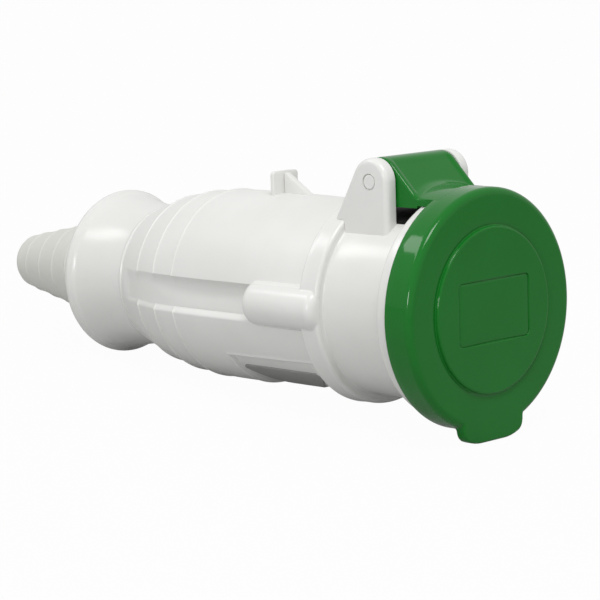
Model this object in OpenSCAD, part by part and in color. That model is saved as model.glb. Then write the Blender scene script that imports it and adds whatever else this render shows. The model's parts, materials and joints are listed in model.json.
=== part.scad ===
// Pin and sleeve connector, female end, with a sprung lid, on four contacts.
// Every piece is drawn about the connector's own axis, which runs along Y: the mouth that a
// plug enters is the plane y = 0, the cable leaves towards +Y, and the hinge is on top.
// The finished pieces are then tilted about the mouth's centre, so that the connector lies
// as it rests on a table, on the lid's finger tab and on the rear edge of the gland nut.

/* [Lid] */
// Outside diameter of the lid
lid_d = 86; // [84:0.5:90]
// Thickness of the lid's front wall
lid_front_t = 2.4; // [2:0.1:3.2]
// Thickness of the lid's skirt
lid_wall = 2.2; // [1.8:0.1:2.4]
// How far the skirt reaches behind the mouth
skirt_reach = 7.7; // [6:0.1:8]
// Radius of the rounded edge round the lid's face
lid_edge_r = 2.5; // [1.5:0.1:3]
// Diameter of the raised disc on the lid's face
disc_d = 59.4; // [50:0.2:66]
// Height of the raised disc
disc_rise = 1.2; // [0.6:0.1:2]
// Width of the shallow bare panel on the disc
panel_w = 37.6; // [25:0.2:42]
// Height of the panel
panel_h = 22.4; // [14:0.2:30]
// Depth of the panel
panel_depth = 0.5; // [0.2:0.1:0.8]
// Width of the finger tab under the lid
tab_w = 33.4; // [24:0.2:38]
// How far the tab stands below the lid's rim
tab_drop = 3.6; // [3:0.1:6]
// Thickness of the tab
tab_t = 4.2; // [3:0.1:6]

/* [Hinge] */
// Distance of the hinge pin behind the mouth
pin_y = 32.6; // [31:0.1:34]
// Height of the hinge pin above the axis
pin_z = 45.1; // [44.6:0.1:47]
// Diameter of the hinge pin
pin_d = 5.2; // [4.6:0.1:5.8]
// Radius of the rounded ears and of the arm round the pin
ear_r = 8.3; // [8:0.1:9]
// Width over both ears
ears_w = 44.8; // [42:0.2:46]
// Thickness of one ear
ear_t = 5.1; // [4.6:0.1:6]
// Diameter of the hinge spring's wire
wire_d = 1.4; // [1:0.1:1.6]
// Number of turns in the hinge spring
spring_turns = 6; // [4:1:7]

/* [Front housing] */
// Inside diameter of the sleeve that the plug enters
sleeve_d = 63.6; // [63.2:0.1:64.4]
// Wall of the housing round the sleeve
housing_wall = 2.9; // [2.7:0.1:3.3]
// Depth of the annular gap for the plug's collar
sleeve_depth = 43; // [36:0.5:46]
// Diameter of the guard flange behind the lid's skirt
guard_d = 80.4; // [78:0.2:81]
// Width of the guard flange
guard_w = 6.4; // [4:0.1:8]
// Diameter of the housing's spigot inside the handle
spigot_d = 62; // [61:0.1:62.2]
// Wall of the spigot
spigot_wall = 3.2; // [2.6:0.1:3.4]

/* [Contacts] */
// Diameter of the three line pins that the contacts take
line_pin_d = 6; // [5:0.1:6.4]
// Diameter of the earth pin
earth_pin_d = 8; // [7:0.1:8.4]
// Diameter of the circle on which the contacts lie
contact_circle_d = 32; // [29:0.2:34]
// Clock angle of the earth contact, seen from the front with the keyway at the bottom
earth_angle = 60; // [0:30:330]
// Diameter of the contact carrier
carrier_d = 56.4; // [55:0.1:57]
// Wall of each contact tube
contact_wall = 1.5; // [1.2:0.1:1.8]

/* [Handle] */
// Outside diameter of the collar at the handle's front
collar_d = 76.4; // [76:0.1:78]
// Greatest diameter of the handle's barrel
barrel_d = 72.2; // [71:0.2:74]
// Diameter at the rear end of the handle
tail_d = 55.8; // [55:0.2:58]
// Distance of the handle's rear end behind the mouth
tail_y = 160.5; // [150:0.5:172]
// Height of each step between the grip rings
ring_step = 0.7; // [0.3:0.1:1]
// Height of the groove along each side
groove_h = 11.2; // [9:0.2:12]
// Wall of the handle
handle_wall = 3; // [2.4:0.1:3.4]
// Height of the catch fin above the axis
fin_top = 44.4; // [42:0.2:48]
// Width of the catch fin
fin_w = 13; // [8:0.2:18]

/* [Cable gland] */
// Diameter of the gland nut at its rear edge
nut_d = 64.8; // [62:0.2:68]
// Wall of the gland nut at its waist, over the neck
nut_wall = 3.8; // [3.4:0.1:4.4]
// Length of the gland nut
nut_len = 30.3; // [28:0.1:36]
// Diameter of the handle's neck inside the nut
neck_d = 47; // [45:0.2:47.6]
// Length of the cable boot behind the nut
boot_len = 57.6; // [45:0.2:70]
// Diameter of the boot at its tip
boot_tip_d = 20.2; // [19:0.2:24]
// Diameter of the cable hole in the boot
cable_hole_d = 15.4; // [13:0.2:15.8]

/* [Fits] */
// Running clearance on the radius of the hinge pin
pin_gap = 0.06; // [0.03:0.01:0.09]
// Radial clearance between pieces that are pushed into each other
slip_gap = 0.1; // [0.05:0.01:0.15]
// Gap between the lid and what it moves past
swing_gap = 0.5; // [0.4:0.05:0.6]
// Gap that the closed lid's gasket leaves to the mouth
seal_gap = 0.2; // [0.15:0.05:0.3]

/* [Hidden] */
$fn = 96;

shell_grey = [0.89, 0.89, 0.88];
lid_green = [0.14, 0.40, 0.17];
boot_grey = [0.74, 0.74, 0.71];
insulator_grey = [0.30, 0.31, 0.32];
rubber_black = [0.06, 0.06, 0.06];
nickel = [0.78, 0.76, 0.70];
steel = [0.62, 0.63, 0.65];
plate_grey = [0.47, 0.47, 0.46];

// A little more than a cut needs, so that no two faces coincide
over = 1;

// Sleeve
sleeve_r = sleeve_d / 2;
housing_r = sleeve_r + housing_wall;

// Lid
lid_r = lid_d / 2;
gasket_t = 1.4;
gasket_r = 35.2;
gasket_w = 6;
face_y = -(seal_gap + gasket_t + lid_front_t);
skirt_inner_r = lid_r - lid_wall;
panel_r = 1.8;
tab_corner_r = 3.5;
tab_bottom_z = -(lid_r + tab_drop);
tab_back_y = face_y + tab_t;
tab_flat = 12;
tab_sweep_r = 19.5;
tab_sweep_angle = 22.2;
tab_edge_r = 1;
arm_w = ears_w - 2 * ear_t - 2 * swing_gap;
arm_under_z = housing_r + 1.5;
arm_recess = 0.55;
arm_rib = 2.2;
root_fillet = 4.5;
arm_slope_k = pin_z - pin_y + ear_r * sqrt(2);
pocket_r = ear_r - 1.7;

// Housing
guard_r = guard_d / 2;
guard_y = skirt_reach + swing_gap;
mouth_r = guard_r - 3.6;
shoulder_t = 3;
spigot_r = spigot_d / 2;
seat_y = sleeve_depth + 5;
flange_y = seat_y - 1.8;
flange_rear_y = seat_y + shoulder_t;
spigot_end_y = flange_rear_y + 19;
pillar_x = 33.2;
pillar_r = 2.65;
pillar_end_y = flange_rear_y + 9;
keyway_w = 6.4;
keyway_depth = 1.7;
pin_r = pin_d / 2;
ear_edge_r = 2;
ear_out_x = ears_w / 2;
ear_foot_z = 22;
ear_heel_y = seat_y + 0.4;
ear_heel_z = 28;

// Collar and handle
collar_r = collar_d / 2;
collar_front_y = seat_y - 3.1;
collar_rear_y = collar_front_y + 8.7;
collar_edge_r = 1.7;
recess_gap = 0.15;
flange_r = housing_r + 1.15;
recess_r = flange_r + recess_gap;
floor_y = flange_rear_y + 0.2;
crest_y = tail_y - 50.5;
crest_r = barrel_d / 2;
front_drop = 1.1;
tail_r = tail_d / 2;
ridge_pitch = [36.5, 24.8, 13.2];
boss_r = 8.3;
boss_rear_y = collar_front_y + 36.1;
boss_edge_r = 3.4;
groove_z = 1.1;
groove_x = 33;
neck_r = neck_d / 2;
neck_bore_r = neck_r - 3.3;
neck_end_y = tail_y + 16.5;
cavity_r = spigot_r + slip_gap;

// Gland
nut_r = nut_d / 2;
nut_waist_r = neck_r + nut_wall;
nut_rear_y = tail_y + nut_len;
nut_edge_r = 3;
boot_front_r = neck_r - 2.2;
boot_flange_r = neck_r + 1.5;
boot_flange_t = 4;
cage_flange_t = 3;
boot_tip_y = nut_rear_y + boot_len;
grommet_r = neck_bore_r - 3.2;
cable_r = cable_hole_d / 2;

// The tilt at which the tab's rear edge and the nut's rear edge touch one level floor
nut_edge_z = -(nut_r - nut_edge_r);
rest_dy = nut_rear_y - nut_edge_r - tab_back_y;
rest_dz = nut_edge_z - tab_bottom_z;
rest_tilt = atan2(rest_dz, rest_dy) - asin(nut_edge_r / norm([rest_dy, rest_dz]));

// Turns a piece from the connector's own axis into its resting pose
module resting() rotate([-rest_tilt, 0, 0]) children();

// Stands a shape that is drawn up Z along +Y instead, starting at the given distance
module along_axis(y = 0) translate([0, y, 0]) rotate([-90, 0, 0]) children();

// A profile of [radius, distance] points, turned about the connector's axis
module turned(points) along_axis() rotate_extrude() polygon(points);

// A tube along the axis, from one distance to another
module tube_between(y0, y1, r_out, r_in) {
    turned([[r_in, y0], [r_out, y0], [r_out, y1], [r_in, y1]]);
}

// A rod along the axis at a place in the cross section
module rod(x, z, y0, y1, r) translate([x, y0, z]) rotate([-90, 0, 0]) cylinder(h = y1 - y0, r = r);

// A rod across the connector, about the hinge's axis
module hinge_rod(x0, x1, r) {
    translate([x0, pin_y, pin_z]) rotate([0, 90, 0]) cylinder(h = x1 - x0, r = r);
}

// Points of a round corner, from one angle to another
function corner(cx, cy, r, a0, a1, n = 8) =
    [for (i = [0:n]) [cx + r * cos(a0 + (a1 - a0) * i / n), cy + r * sin(a0 + (a1 - a0) * i / n)]];

// A disc with one rounded edge, standing on z = 0, for use inside a hull
module puck(r, t, edge) {
    rotate_extrude($fn = 32) polygon(concat([[0, 0], [r, 0]], corner(r - edge, t - edge, edge, 0, 90, 4), [[0, t]]));
}

// A plate with round corners, centred, of the given thickness from y = 0 towards +Y
module round_plate(w, h, r, t) {
    for (s = [-1, 1], u = [-1, 1]) rod(s * (w / 2 - r), u * (h / 2 - r), 0, t, r);
    translate([-w / 2, 0, -h / 2 + r]) cube([w, t, h - 2 * r]);
    translate([-w / 2 + r, 0, -h / 2]) cube([w - 2 * r, t, h]);
}

// Place of a contact: the clock angle counts from the top, seen from the front
function contact_angle(i) = earth_angle + 90 * i;
function contact_x(i) = contact_circle_d / 2 * sin(contact_angle(i));
function contact_z(i) = contact_circle_d / 2 * cos(contact_angle(i));
function contact_pin_r(i) = (i == 0 ? earth_pin_d : line_pin_d) / 2;
function contact_tube_r(i) = contact_pin_r(i) + contact_bore_gap + contact_wall;
function screw_angle(s) = contact_angle(s > 0 ? 0 : 2) + 45;

contact_bore_gap = 0.03;
contact_front_y = 7;
contact_collar_r = 1.6;
contact_collar_t = 2;
carrier_r = carrier_d / 2;
carrier_face_y = 1.2;
carrier_split_y = 24;
carrier_screw_len = 12;
carrier_boss_r = 26;
carrier_screw_circle_r = 20;
carrier_screw_r = 1.9;
carrier_head_h = 2.6;
retainer_t = 7;
retainer_rear_y = flange_rear_y + retainer_t;
block_len = 14;
block_wall = 1;
terminal_screw_r = 2;

// Front housing

module ear_blank(side) {
    x0 = side > 0 ? ear_out_x - ear_t : -ear_out_x + ear_t;
    translate([x0, 0, 0]) rotate([0, side > 0 ? 90 : -90, 0]) {
        // In this turned frame the ear's height runs along -X or +X of the blank
        up = side > 0 ? -1 : 1;
        hull() {
            translate([up * pin_z, pin_y, 0]) puck(ear_r, ear_t, ear_edge_r);
            translate([up * ear_foot_z, pin_y - ear_r + 3, 0]) puck(3, ear_t, ear_edge_r);
            translate([up * ear_foot_z, ear_heel_y, 0]) puck(3, ear_t, ear_edge_r);
            translate([up * ear_heel_z, ear_heel_y, 0]) puck(3, ear_t, ear_edge_r);
        }
    }
}

module housing_outside() {
    turned(concat(
        [[sleeve_r - over, 0]],
        corner(mouth_r - 1.2, 1.2, 1.2, -90, 0, 5),
        [[mouth_r, guard_y]],
        corner(guard_r - 0.8, guard_y + 0.8, 0.8, -90, 0, 5),
        corner(guard_r - 1.6, guard_y + guard_w - 1.6, 1.6, 0, 80, 6),
        corner(housing_r + 1.8, guard_y + guard_w + 1.4, 1.8, -110, -180, 5),
        [[housing_r, flange_y], [flange_r, flange_y], [flange_r, seat_y + 1],
         [spigot_r, seat_y + 1], [spigot_r, spigot_end_y - 1],
         [spigot_r - 1, spigot_end_y], [sleeve_r - 4, spigot_end_y], [sleeve_r - 4, 0.5]]));
}

module front_housing() color(shell_grey) resting() {
    difference() {
        union() {
            housing_outside();
            difference() {
                union() {
                    ear_blank(-1);
                    ear_blank(1);
                }
                // The ears stand on the housing and clear the handle's collar
                along_axis(collar_front_y - 0.3) cylinder(h = 30, r = collar_r + 0.3);
                along_axis(pin_y - 30) cylinder(h = 60, r = sleeve_r + 1);
            }
            for (s = [-1, 1]) rod(s * pillar_x, 0, flange_y + 0.5, pillar_end_y, pillar_r);
        }
        // The sleeve, the shoulder that holds the contact carrier, and the spigot's bore
        along_axis(-over) cylinder(h = seat_y + over, r = sleeve_r);
        along_axis(seat_y - over) cylinder(h = 30, r = carrier_boss_r + slip_gap);
        along_axis(flange_rear_y) cylinder(h = 30, r = spigot_r - spigot_wall);
        // Keyway at the bottom of the sleeve
        translate([-keyway_w / 2, -over, -sleeve_r - keyway_depth])
            cube([keyway_w, sleeve_depth + over, keyway_depth + 5]);
        // Bore for the hinge pin, with a small break at each outer face
        hinge_rod(-ear_out_x - over, ear_out_x + over, pin_r + slip_gap / 2);
        for (s = [-1, 1]) translate([s * (ear_out_x + 0.01), pin_y, pin_z]) rotate([0, -s * 90, 0])
            cylinder(h = 0.35, r1 = pin_r + 0.35, r2 = pin_r);
        // Groove for the seal, and holes for the assembly screws
        tube_between(seal_y, seal_y + seal_w, spigot_r + over, spigot_r - seal_depth);
        for (s = [-1, 1]) rod(s * pillar_x, 0, pillar_end_y - 11, pillar_end_y + over, screw_r + 0.03);
    }
}

seal_y = flange_rear_y + 12;
seal_w = 2.6;
seal_depth = 1.7;
screw_r = 1.7;

// Black pad under the lid's arm, between the ears
pad_t = 0.9;
pad_w = ears_w - 2 * ear_t - 0.6;
pad_front_y = guard_y + guard_w + 3.4;
pad_rear_y = collar_front_y - 1;

module hinge_pad() color(rubber_black) resting() {
    intersection() {
        tube_between(pad_front_y, pad_rear_y, housing_r + pad_t, housing_r);
        translate([-pad_w / 2, 0, 0]) cube([pad_w, 100, 60]);
    }
}

// Hinge pin, spring and lid

module hinge_pin() color(shell_grey) resting() {
    hinge_rod(-ear_out_x, ear_out_x, pin_r);
}

// The spring's wire: a leg under the lid's arm, the coil round the pin, a leg on the pad
coil_r = 5;
coil_w = spring_turns * wire_d * 1.25;
pocket_w = coil_w + wire_d + 1.6;
wire_steps = 16;
leg_front_y = 21.4;
leg_rear_r = housing_r + pad_t + wire_d / 2 + 0.05;
coil_a0 = 270;
coil_a1 = 235 + 360 * spring_turns;
function coil_point(a) = [
    coil_w * ((a - coil_a0) / (coil_a1 - coil_a0) - 0.5),
    pin_y + coil_r * cos(a),
    pin_z + coil_r * sin(a)];
// The rear leg runs straight off the coil, down to the pad
coil_end = coil_point(coil_a1);
leg_rear_z = sqrt(pow(leg_rear_r, 2) - pow(coil_end[0], 2));
leg_rear_y = coil_end[1] + (coil_end[2] - leg_rear_z) / tan(35);
wire_path = concat(
    [[-coil_w / 2, leg_front_y, pin_z - coil_r], [-coil_w / 2, pin_y - 3, pin_z - coil_r]],
    [for (k = [0:wire_steps * spring_turns]) coil_point(coil_a0 + (coil_a1 - coil_a0) * k / (wire_steps * spring_turns))],
    [[coil_end[0], leg_rear_y, leg_rear_z]]);

function unit(v) = v / norm(v);
function wire_ring(path, i, r, sides) =
    let (
        last = len(path) - 1,
        along = unit(path[min(i + 1, last)] - path[max(i - 1, 0)]),
        side = unit(cross(along, [1, 0, 0])),
        up = cross(side, along)
    )
    [for (k = [0:sides - 1]) path[i] + r * (side * cos(360 * k / sides) + up * sin(360 * k / sides))];

module wire(path, r, sides = 8) {
    rings = len(path);
    points = [for (i = [0:rings - 1]) each wire_ring(path, i, r, sides)];
    walls = [for (i = [0:rings - 2], k = [0:sides - 1]) each
        let (a = i * sides + k, b = i * sides + (k + 1) % sides)
        [[a, b, b + sides], [a, b + sides, a + sides]]];
    first = [[for (k = [sides - 1:-1:0]) k]];
    end = [[for (k = [0:sides - 1]) (rings - 1) * sides + k]];
    polyhedron(points, concat(walls, first, end));
}

module hinge_spring() color(steel) resting() wire(wire_path, wire_d / 2);

module lid_shell() {
    turned(concat(
        [[0, face_y], [disc_d / 2 - 0.4, face_y]],
        corner(lid_r - lid_edge_r, face_y + lid_edge_r, lid_edge_r, -90, 0),
        [[lid_r, skirt_reach - 0.5], [lid_r - 0.5, skirt_reach], [skirt_inner_r, skirt_reach],
         [skirt_inner_r, face_y + lid_front_t + 1.5], [skirt_inner_r - 1.5, face_y + lid_front_t],
         [0, face_y + lid_front_t]]));
    // The raised disc, with a sloping edge
    turned([[0, face_y + 0.1], [disc_d / 2, face_y + 0.1], [disc_d / 2, face_y],
        [disc_d / 2 - 0.7, face_y - disc_rise + 0.2], [disc_d / 2 - 1, face_y - disc_rise],
        [0, face_y - disc_rise]]);
}

module tab_blank() {
    translate([0, tab_back_y, 0]) rotate([90, 0, 0]) hull() {
        // A short flat on which the connector rests, then a sweep up to each side
        for (s = [-1, 1], k = [0:3]) let (a = tab_sweep_angle * k / 3)
            translate([s * (tab_flat / 2 + (tab_sweep_r - tab_corner_r) * sin(a)),
                tab_bottom_z + tab_sweep_r - (tab_sweep_r - tab_corner_r) * cos(a), 0])
                puck(tab_corner_r, tab_t, tab_edge_r);
        for (s = [-1, 1]) translate([s * (tab_w / 2 - tab_corner_r), tab_bottom_z + 10, 0])
            puck(tab_corner_r, tab_t, tab_edge_r);
    }
}

// The arm's side view: round the pin, with a slope at 45 degrees in front of it
module arm_blank() {
    difference() {
        translate([-arm_w / 2, 0, 0]) rotate([90, 0, 90]) linear_extrude(arm_w)
            polygon(concat(corner(pin_y, pin_z, ear_r, 135, -90, 40),
                [[pin_y, arm_under_z], [arm_under_z - arm_slope_k, arm_under_z]]));
        // The slope is hollowed between two ribs
        translate([0, pin_y, pin_z]) rotate([45, 0, 0])
            translate([-arm_w / 2 + arm_rib, -30, ear_r - arm_recess]) cube([arm_w - 2 * arm_rib, 34, 5]);
    }
}

// The arm's front end continues the skirt over the guard flange, and sweeps up into the slope
module arm_root() {
    root_y = guard_y + guard_w + 0.5;
    intersection() {
        turned(concat([[guard_r + swing_gap, skirt_reach - 2], [lid_r, skirt_reach - 2]],
            corner(lid_r + root_fillet, root_y + 1, root_fillet, 180, 138, 8),
            [[lid_r - 4, root_y + 5], [guard_r + swing_gap, root_y]]));
        translate([-arm_w / 2, 0, 20]) cube([arm_w, 60, 60]);
    }
}

module lid() color(lid_green) resting() {
    difference() {
        union() {
            lid_shell();
            difference() {
                tab_blank();
                along_axis(face_y + lid_front_t / 2) cylinder(h = 40, r = lid_r - 1);
            }
            // The arm reaches back over the guard flange to the pin, between the ears
            difference() {
                arm_blank();
                along_axis(-over) cylinder(h = guard_y + guard_w + swing_gap + over, r = lid_r - 0.5);
            }
            arm_root();
        }
        // Shallow panel on the disc
        translate([0, face_y - disc_rise - over, 0]) round_plate(panel_w, panel_h, panel_r, panel_depth + over);
        // Bore for the pin and a pocket for the spring
        hinge_rod(-arm_w, arm_w, pin_r + pin_gap);
        hinge_rod(-pocket_w / 2, pocket_w / 2, pocket_r);
        translate([-pocket_w / 2, leg_front_y - 0.6, 30])
            cube([pocket_w, 60, pin_z - coil_r + wire_d / 2 + 0.05 - 30]);
        translate([-pocket_w / 2, pin_y, 30]) cube([pocket_w, 60, pin_z + 5.4 - 30]);
    }
}

module lid_gasket() color(rubber_black) resting() {
    tube_between(face_y + lid_front_t, -seal_gap, gasket_r, gasket_r - gasket_w);
}

// Contact carrier, contacts and their screws

// The passages of the four contacts through both halves of the carrier
module contact_passages() {
    for (i = [0:3]) {
        rod(contact_x(i), contact_z(i), 0, contact_front_y + over, contact_pin_r(i) + 0.5);
        rod(contact_x(i), contact_z(i), contact_front_y, retainer_rear_y, contact_tube_r(i) + slip_gap);
    }
}

module contact_carrier() color(insulator_grey) resting() {
    difference() {
        turned([[0, carrier_face_y], [carrier_r - 1, carrier_face_y], [carrier_r, carrier_face_y + 1],
            [carrier_r, carrier_split_y], [0, carrier_split_y]]);
        contact_passages();
    }
}

// The rear half is held in the housing's shoulder
module carrier_base() color(insulator_grey) resting() {
    difference() {
        turned([[0, carrier_split_y], [carrier_r, carrier_split_y], [carrier_r, sleeve_depth],
            [sleeve_r - slip_gap, sleeve_depth], [sleeve_r - slip_gap, seat_y],
            [carrier_boss_r, seat_y], [carrier_boss_r, flange_rear_y], [0, flange_rear_y]]);
        contact_passages();
        for (s = [-1, 1]) carrier_screw_hole(s, carrier_screw_r + 0.03, seat_y - carrier_screw_len - 2);
    }
}

module carrier_screw_hole(s, r, y0) {
    rod(carrier_screw_circle_r * sin(screw_angle(s)), carrier_screw_circle_r * cos(screw_angle(s)), y0, 100, r);
}

module contact_retainer() color(insulator_grey) resting() {
    difference() {
        tube_between(flange_rear_y, retainer_rear_y, spigot_r - spigot_wall - slip_gap, 4);
        for (i = [0:3]) {
            rod(contact_x(i), contact_z(i), 20, 90, contact_tube_r(i) + slip_gap);
            rod(contact_x(i), contact_z(i), 20, flange_rear_y + contact_collar_t,
                contact_tube_r(i) + contact_collar_r + slip_gap);
        }
        for (s = [-1, 1]) carrier_screw_hole(s, carrier_screw_r + 0.3, 20);
    }
}

module carrier_screw(s) color(steel) resting() {
    x = carrier_screw_circle_r * sin(screw_angle(s));
    z = carrier_screw_circle_r * cos(screw_angle(s));
    difference() {
        union() {
            rod(x, z, seat_y - carrier_screw_len, retainer_rear_y + 0.1, carrier_screw_r);
            rod(x, z, retainer_rear_y, retainer_rear_y + carrier_head_h, carrier_screw_r * 1.9);
        }
        translate([x - 2 * carrier_screw_r - over, retainer_rear_y + carrier_head_h / 2, z - 0.5])
            cube([4 * carrier_screw_r + 2 * over, carrier_head_h, 1]);
    }
}

module carrier_screw_left() carrier_screw(-1);
module carrier_screw_right() carrier_screw(1);

// One contact: a split tube for the pin, a collar that the retainer traps, and a terminal
module contact(i) color(nickel) resting() {
    x = contact_x(i);
    z = contact_z(i);
    tube_r = contact_tube_r(i);
    block_r = tube_r + block_wall;
    difference() {
        union() {
            rod(x, z, contact_front_y, retainer_rear_y + 2, tube_r);
            rod(x, z, flange_rear_y, flange_rear_y + contact_collar_t, tube_r + contact_collar_r);
            rod(x, z, retainer_rear_y, retainer_rear_y + block_len, block_r);
        }
        rod(x, z, 0, sleeve_depth + 3, contact_pin_r(i) + contact_bore_gap);
        rod(x, z, retainer_rear_y + 3, 100, contact_pin_r(i) - 0.2);
        // Slit that lets the front of the tube spring
        translate([x, 0, z]) rotate([0, contact_angle(i), 0]) translate([-tube_r - over, contact_front_y - over, -0.4])
            cube([2 * tube_r + 2 * over, 19, 0.8]);
        terminal_rod(i, 0, block_r + over, terminal_screw_r + 0.03);
    }
}

// A rod from a contact's own axis outwards, away from the connector's axis
module terminal_rod(i, from, to, r) {
    translate([contact_x(i), retainer_rear_y + block_len / 2 + 1, contact_z(i)])
        rotate([0, contact_angle(i), 0]) translate([0, 0, from]) cylinder(h = to - from, r = r);
}

module contact_earth() contact(0);
module contact_l1() contact(1);
module contact_l2() contact(2);
module contact_l3() contact(3);

module terminal_screw(i) color(steel) resting() {
    top = contact_tube_r(i) + block_wall + 1.4;
    difference() {
        terminal_rod(i, contact_pin_r(i) - 0.6, top, terminal_screw_r);
        translate([contact_x(i), retainer_rear_y + block_len / 2 + 1, contact_z(i)])
            rotate([0, contact_angle(i), 0]) translate([-3, -0.4, top - 1]) cube([6, 0.8, 2]);
    }
}

module terminal_screw_earth() terminal_screw(0);
module terminal_screw_l1() terminal_screw(1);
module terminal_screw_l2() terminal_screw(2);
module terminal_screw_l3() terminal_screw(3);

// Handle

// Radius of the handle's barrel at a distance behind the mouth
function barrel_r(y) = y < crest_y
    ? crest_r - front_drop * pow((crest_y - y) / (crest_y - collar_rear_y), 2)
    : crest_r - (crest_r - tail_r) * pow((y - crest_y) / (tail_y - crest_y), 2.5);

// Each grip ring starts a step below the one before it and rises to the barrel's line
ring_start = [for (d = ridge_pitch) tail_y - d];
ring_end = [for (i = [0:len(ridge_pitch) - 1]) i < len(ridge_pitch) - 1 ? ring_start[i + 1] : tail_y];
grip_rings = [for (i = [0:len(ring_start) - 1], k = [0:4])
    let (y = ring_start[i] + (ring_end[i] - ring_start[i]) * k / 4)
    [barrel_r(y) - ring_step * (1 - k / 4), y + (k == 0 ? 0.5 : 0)]];

handle_outline = concat(
    [[recess_r, collar_front_y + 0.6], [recess_r + 0.5, collar_front_y]],
    corner(collar_r - collar_edge_r, collar_front_y + collar_edge_r, collar_edge_r, -90, 0),
    corner(collar_r - 0.8, collar_rear_y - 0.8, 0.8, 0, 70, 4),
    [for (k = [0:6]) let (y = collar_rear_y + (ring_start[0] - collar_rear_y) * k / 6) [barrel_r(y), y]],
    grip_rings,
    [[tail_r - 1, tail_y], [neck_r, tail_y], [neck_r, neck_end_y - 1], [neck_r - 1, neck_end_y],
     [neck_bore_r, neck_end_y], [neck_bore_r, tail_y - 3]],
    [for (k = [0:5]) let (y = tail_y - 8 - (tail_y - 8 - crest_y) * k / 5)
        [min(barrel_r(y) - handle_wall - ring_step, cavity_r), y]],
    [[cavity_r, floor_y], [recess_r, floor_y]]);

module side_boss(s) {
    difference() {
        rounded_boss(s * pillar_x);
        along_axis() cylinder(h = spigot_end_y + 0.7, r = recess_r);
    }
}

module rounded_boss(x) {
    length = boss_rear_y - collar_front_y - 0.1;
    translate([x, collar_front_y + 0.1, 0]) rotate([-90, 0, 0]) rotate_extrude()
        polygon(concat([[0, 0]], corner(boss_r - boss_edge_r, boss_edge_r, boss_edge_r, -90, 0),
            corner(boss_r - boss_edge_r, length - boss_edge_r, boss_edge_r, 0, 90), [[0, length]]));
}

// Sector of a ring under the handle, for the label's recesses and its plate
module under_sector(half_angle, y0, y1, r_in, r_out) {
    translate([0, y0, 0]) rotate([-90, 0, 0]) rotate([0, 0, 90 - half_angle])
        rotate_extrude(angle = 2 * half_angle) translate([r_in, 0]) square([r_out - r_in, y1 - y0]);
}

label_len = 41.5;
label_y0 = collar_rear_y + 4.4;
label_y1 = label_y0 + label_len;
label_half_angle = 42;
label_step_angle = 10;
plate_t = 0.6;
label_floor_r = 34.7;

fin_y = crest_y - 13.6;
fin_t = 1.8;

module catch_fin() {
    y = fin_y;
    gusset_t = 2.6;
    translate([-fin_w / 2, y, crest_r - 3]) cube([fin_w, fin_t, fin_top - crest_r + 3]);
    translate([-gusset_t / 2, 0, 0]) rotate([90, 0, 90]) linear_extrude(gusset_t)
        polygon([[y + 1, crest_r - 3], [y + 1, fin_top - 0.4], [y - 1.2, fin_top - 0.8],
            [y - 13.8, crest_r - 0.6], [y - 13.8, crest_r - 3]]);
}

// The flat groove that leads a screwdriver along the side to the screw in the boss
module side_groove(s) {
    mirror([s > 0 ? 0 : 1, 0, 0]) translate([0, 0, groove_z - groove_h / 2]) linear_extrude(groove_h)
        polygon(concat([[crest_r + 10, boss_rear_y - 6]],
            [[groove_x, boss_rear_y - 6], [groove_x + 0.2, ring_start[0]]],
            [for (k = [1:4]) let (y = ring_start[0] + (tail_y - 8 - ring_start[0]) * k / 4)
                [min(groove_x + 0.2, barrel_r(y) - 1.7 + 0.3 * k), y]],
            [[crest_r + 10, tail_y - 2]]));
}

module handle() color(shell_grey) resting() {
    difference() {
        union() {
            difference() {
                turned(handle_outline);
                for (s = [-1, 1]) side_groove(s);
                under_sector(label_half_angle + label_step_angle, label_y0 - 2, label_y1 + 0.4, label_floor_r, 40);
            }
            for (s = [-1, 1]) side_boss(s);
            catch_fin();
        }
        // Tunnels for the housing's pillars, the screws' shanks and their heads
        for (s = [-1, 1]) {
            rod(s * pillar_x, 0, floor_y - over, pillar_end_y + 0.5, pillar_r + slip_gap);
            rod(s * pillar_x, 0, floor_y, head_seat_y + over, screw_r + 0.15);
            rod(s * pillar_x, 0, head_seat_y, boss_rear_y + over, head_r + 0.5);
        }
        along_axis(floor_y) cylinder(h = spigot_end_y + 0.6 - floor_y, r = cavity_r);
    }
}

head_seat_y = flange_rear_y + 21;
head_r = 3.2;
head_h = 3;

module label_plate() color(plate_grey) resting() {
    under_sector(label_half_angle, label_y0, label_y1 - 1, label_floor_r, label_floor_r + plate_t);
}

module body_seal() color(rubber_black) resting() {
    tube_between(seal_y + 0.1, seal_y + seal_w - 0.1, spigot_r + slip_gap - 0.02, spigot_r - seal_depth + 0.02);
}

module assembly_screw(s) color(steel) resting() {
    x = s * pillar_x;
    difference() {
        union() {
            rod(x, 0, pillar_end_y - 9, head_seat_y + 0.1, screw_r);
            rod(x, 0, head_seat_y, head_seat_y + head_h, head_r);
        }
        // Cross recess
        for (a = [0, 90]) translate([x, head_seat_y + head_h / 2, 0]) rotate([0, a, 0])
            translate([-head_r - over, 0, -0.5]) cube([2 * head_r + 2 * over, head_h, 1]);
    }
}

module assembly_screw_left() assembly_screw(-1);
module assembly_screw_right() assembly_screw(1);

// Cable gland

cage_fingers = 12;
cage_slit_len = 13;
cage_slit_w = 1.2;

module clamp_cage() color(insulator_grey) resting() {
    difference() {
        union() {
            tube_between(tail_y - 2, neck_end_y + 1, neck_bore_r - slip_gap, grommet_r + slip_gap);
            tube_between(neck_end_y, neck_end_y + cage_flange_t, neck_r, grommet_r + slip_gap);
        }
        for (k = [0:cage_fingers / 2 - 1]) rotate([0, 360 / cage_fingers * k, 0])
            translate([-neck_r - over, tail_y - 2 - over, -cage_slit_w / 2])
                cube([2 * neck_r + 2 * over, cage_slit_len + over, cage_slit_w]);
    }
}

module cable_grommet() color(rubber_black) resting() {
    tube_between(tail_y - 1, neck_end_y + cage_flange_t, grommet_r, cable_r + 0.4);
}

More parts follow.
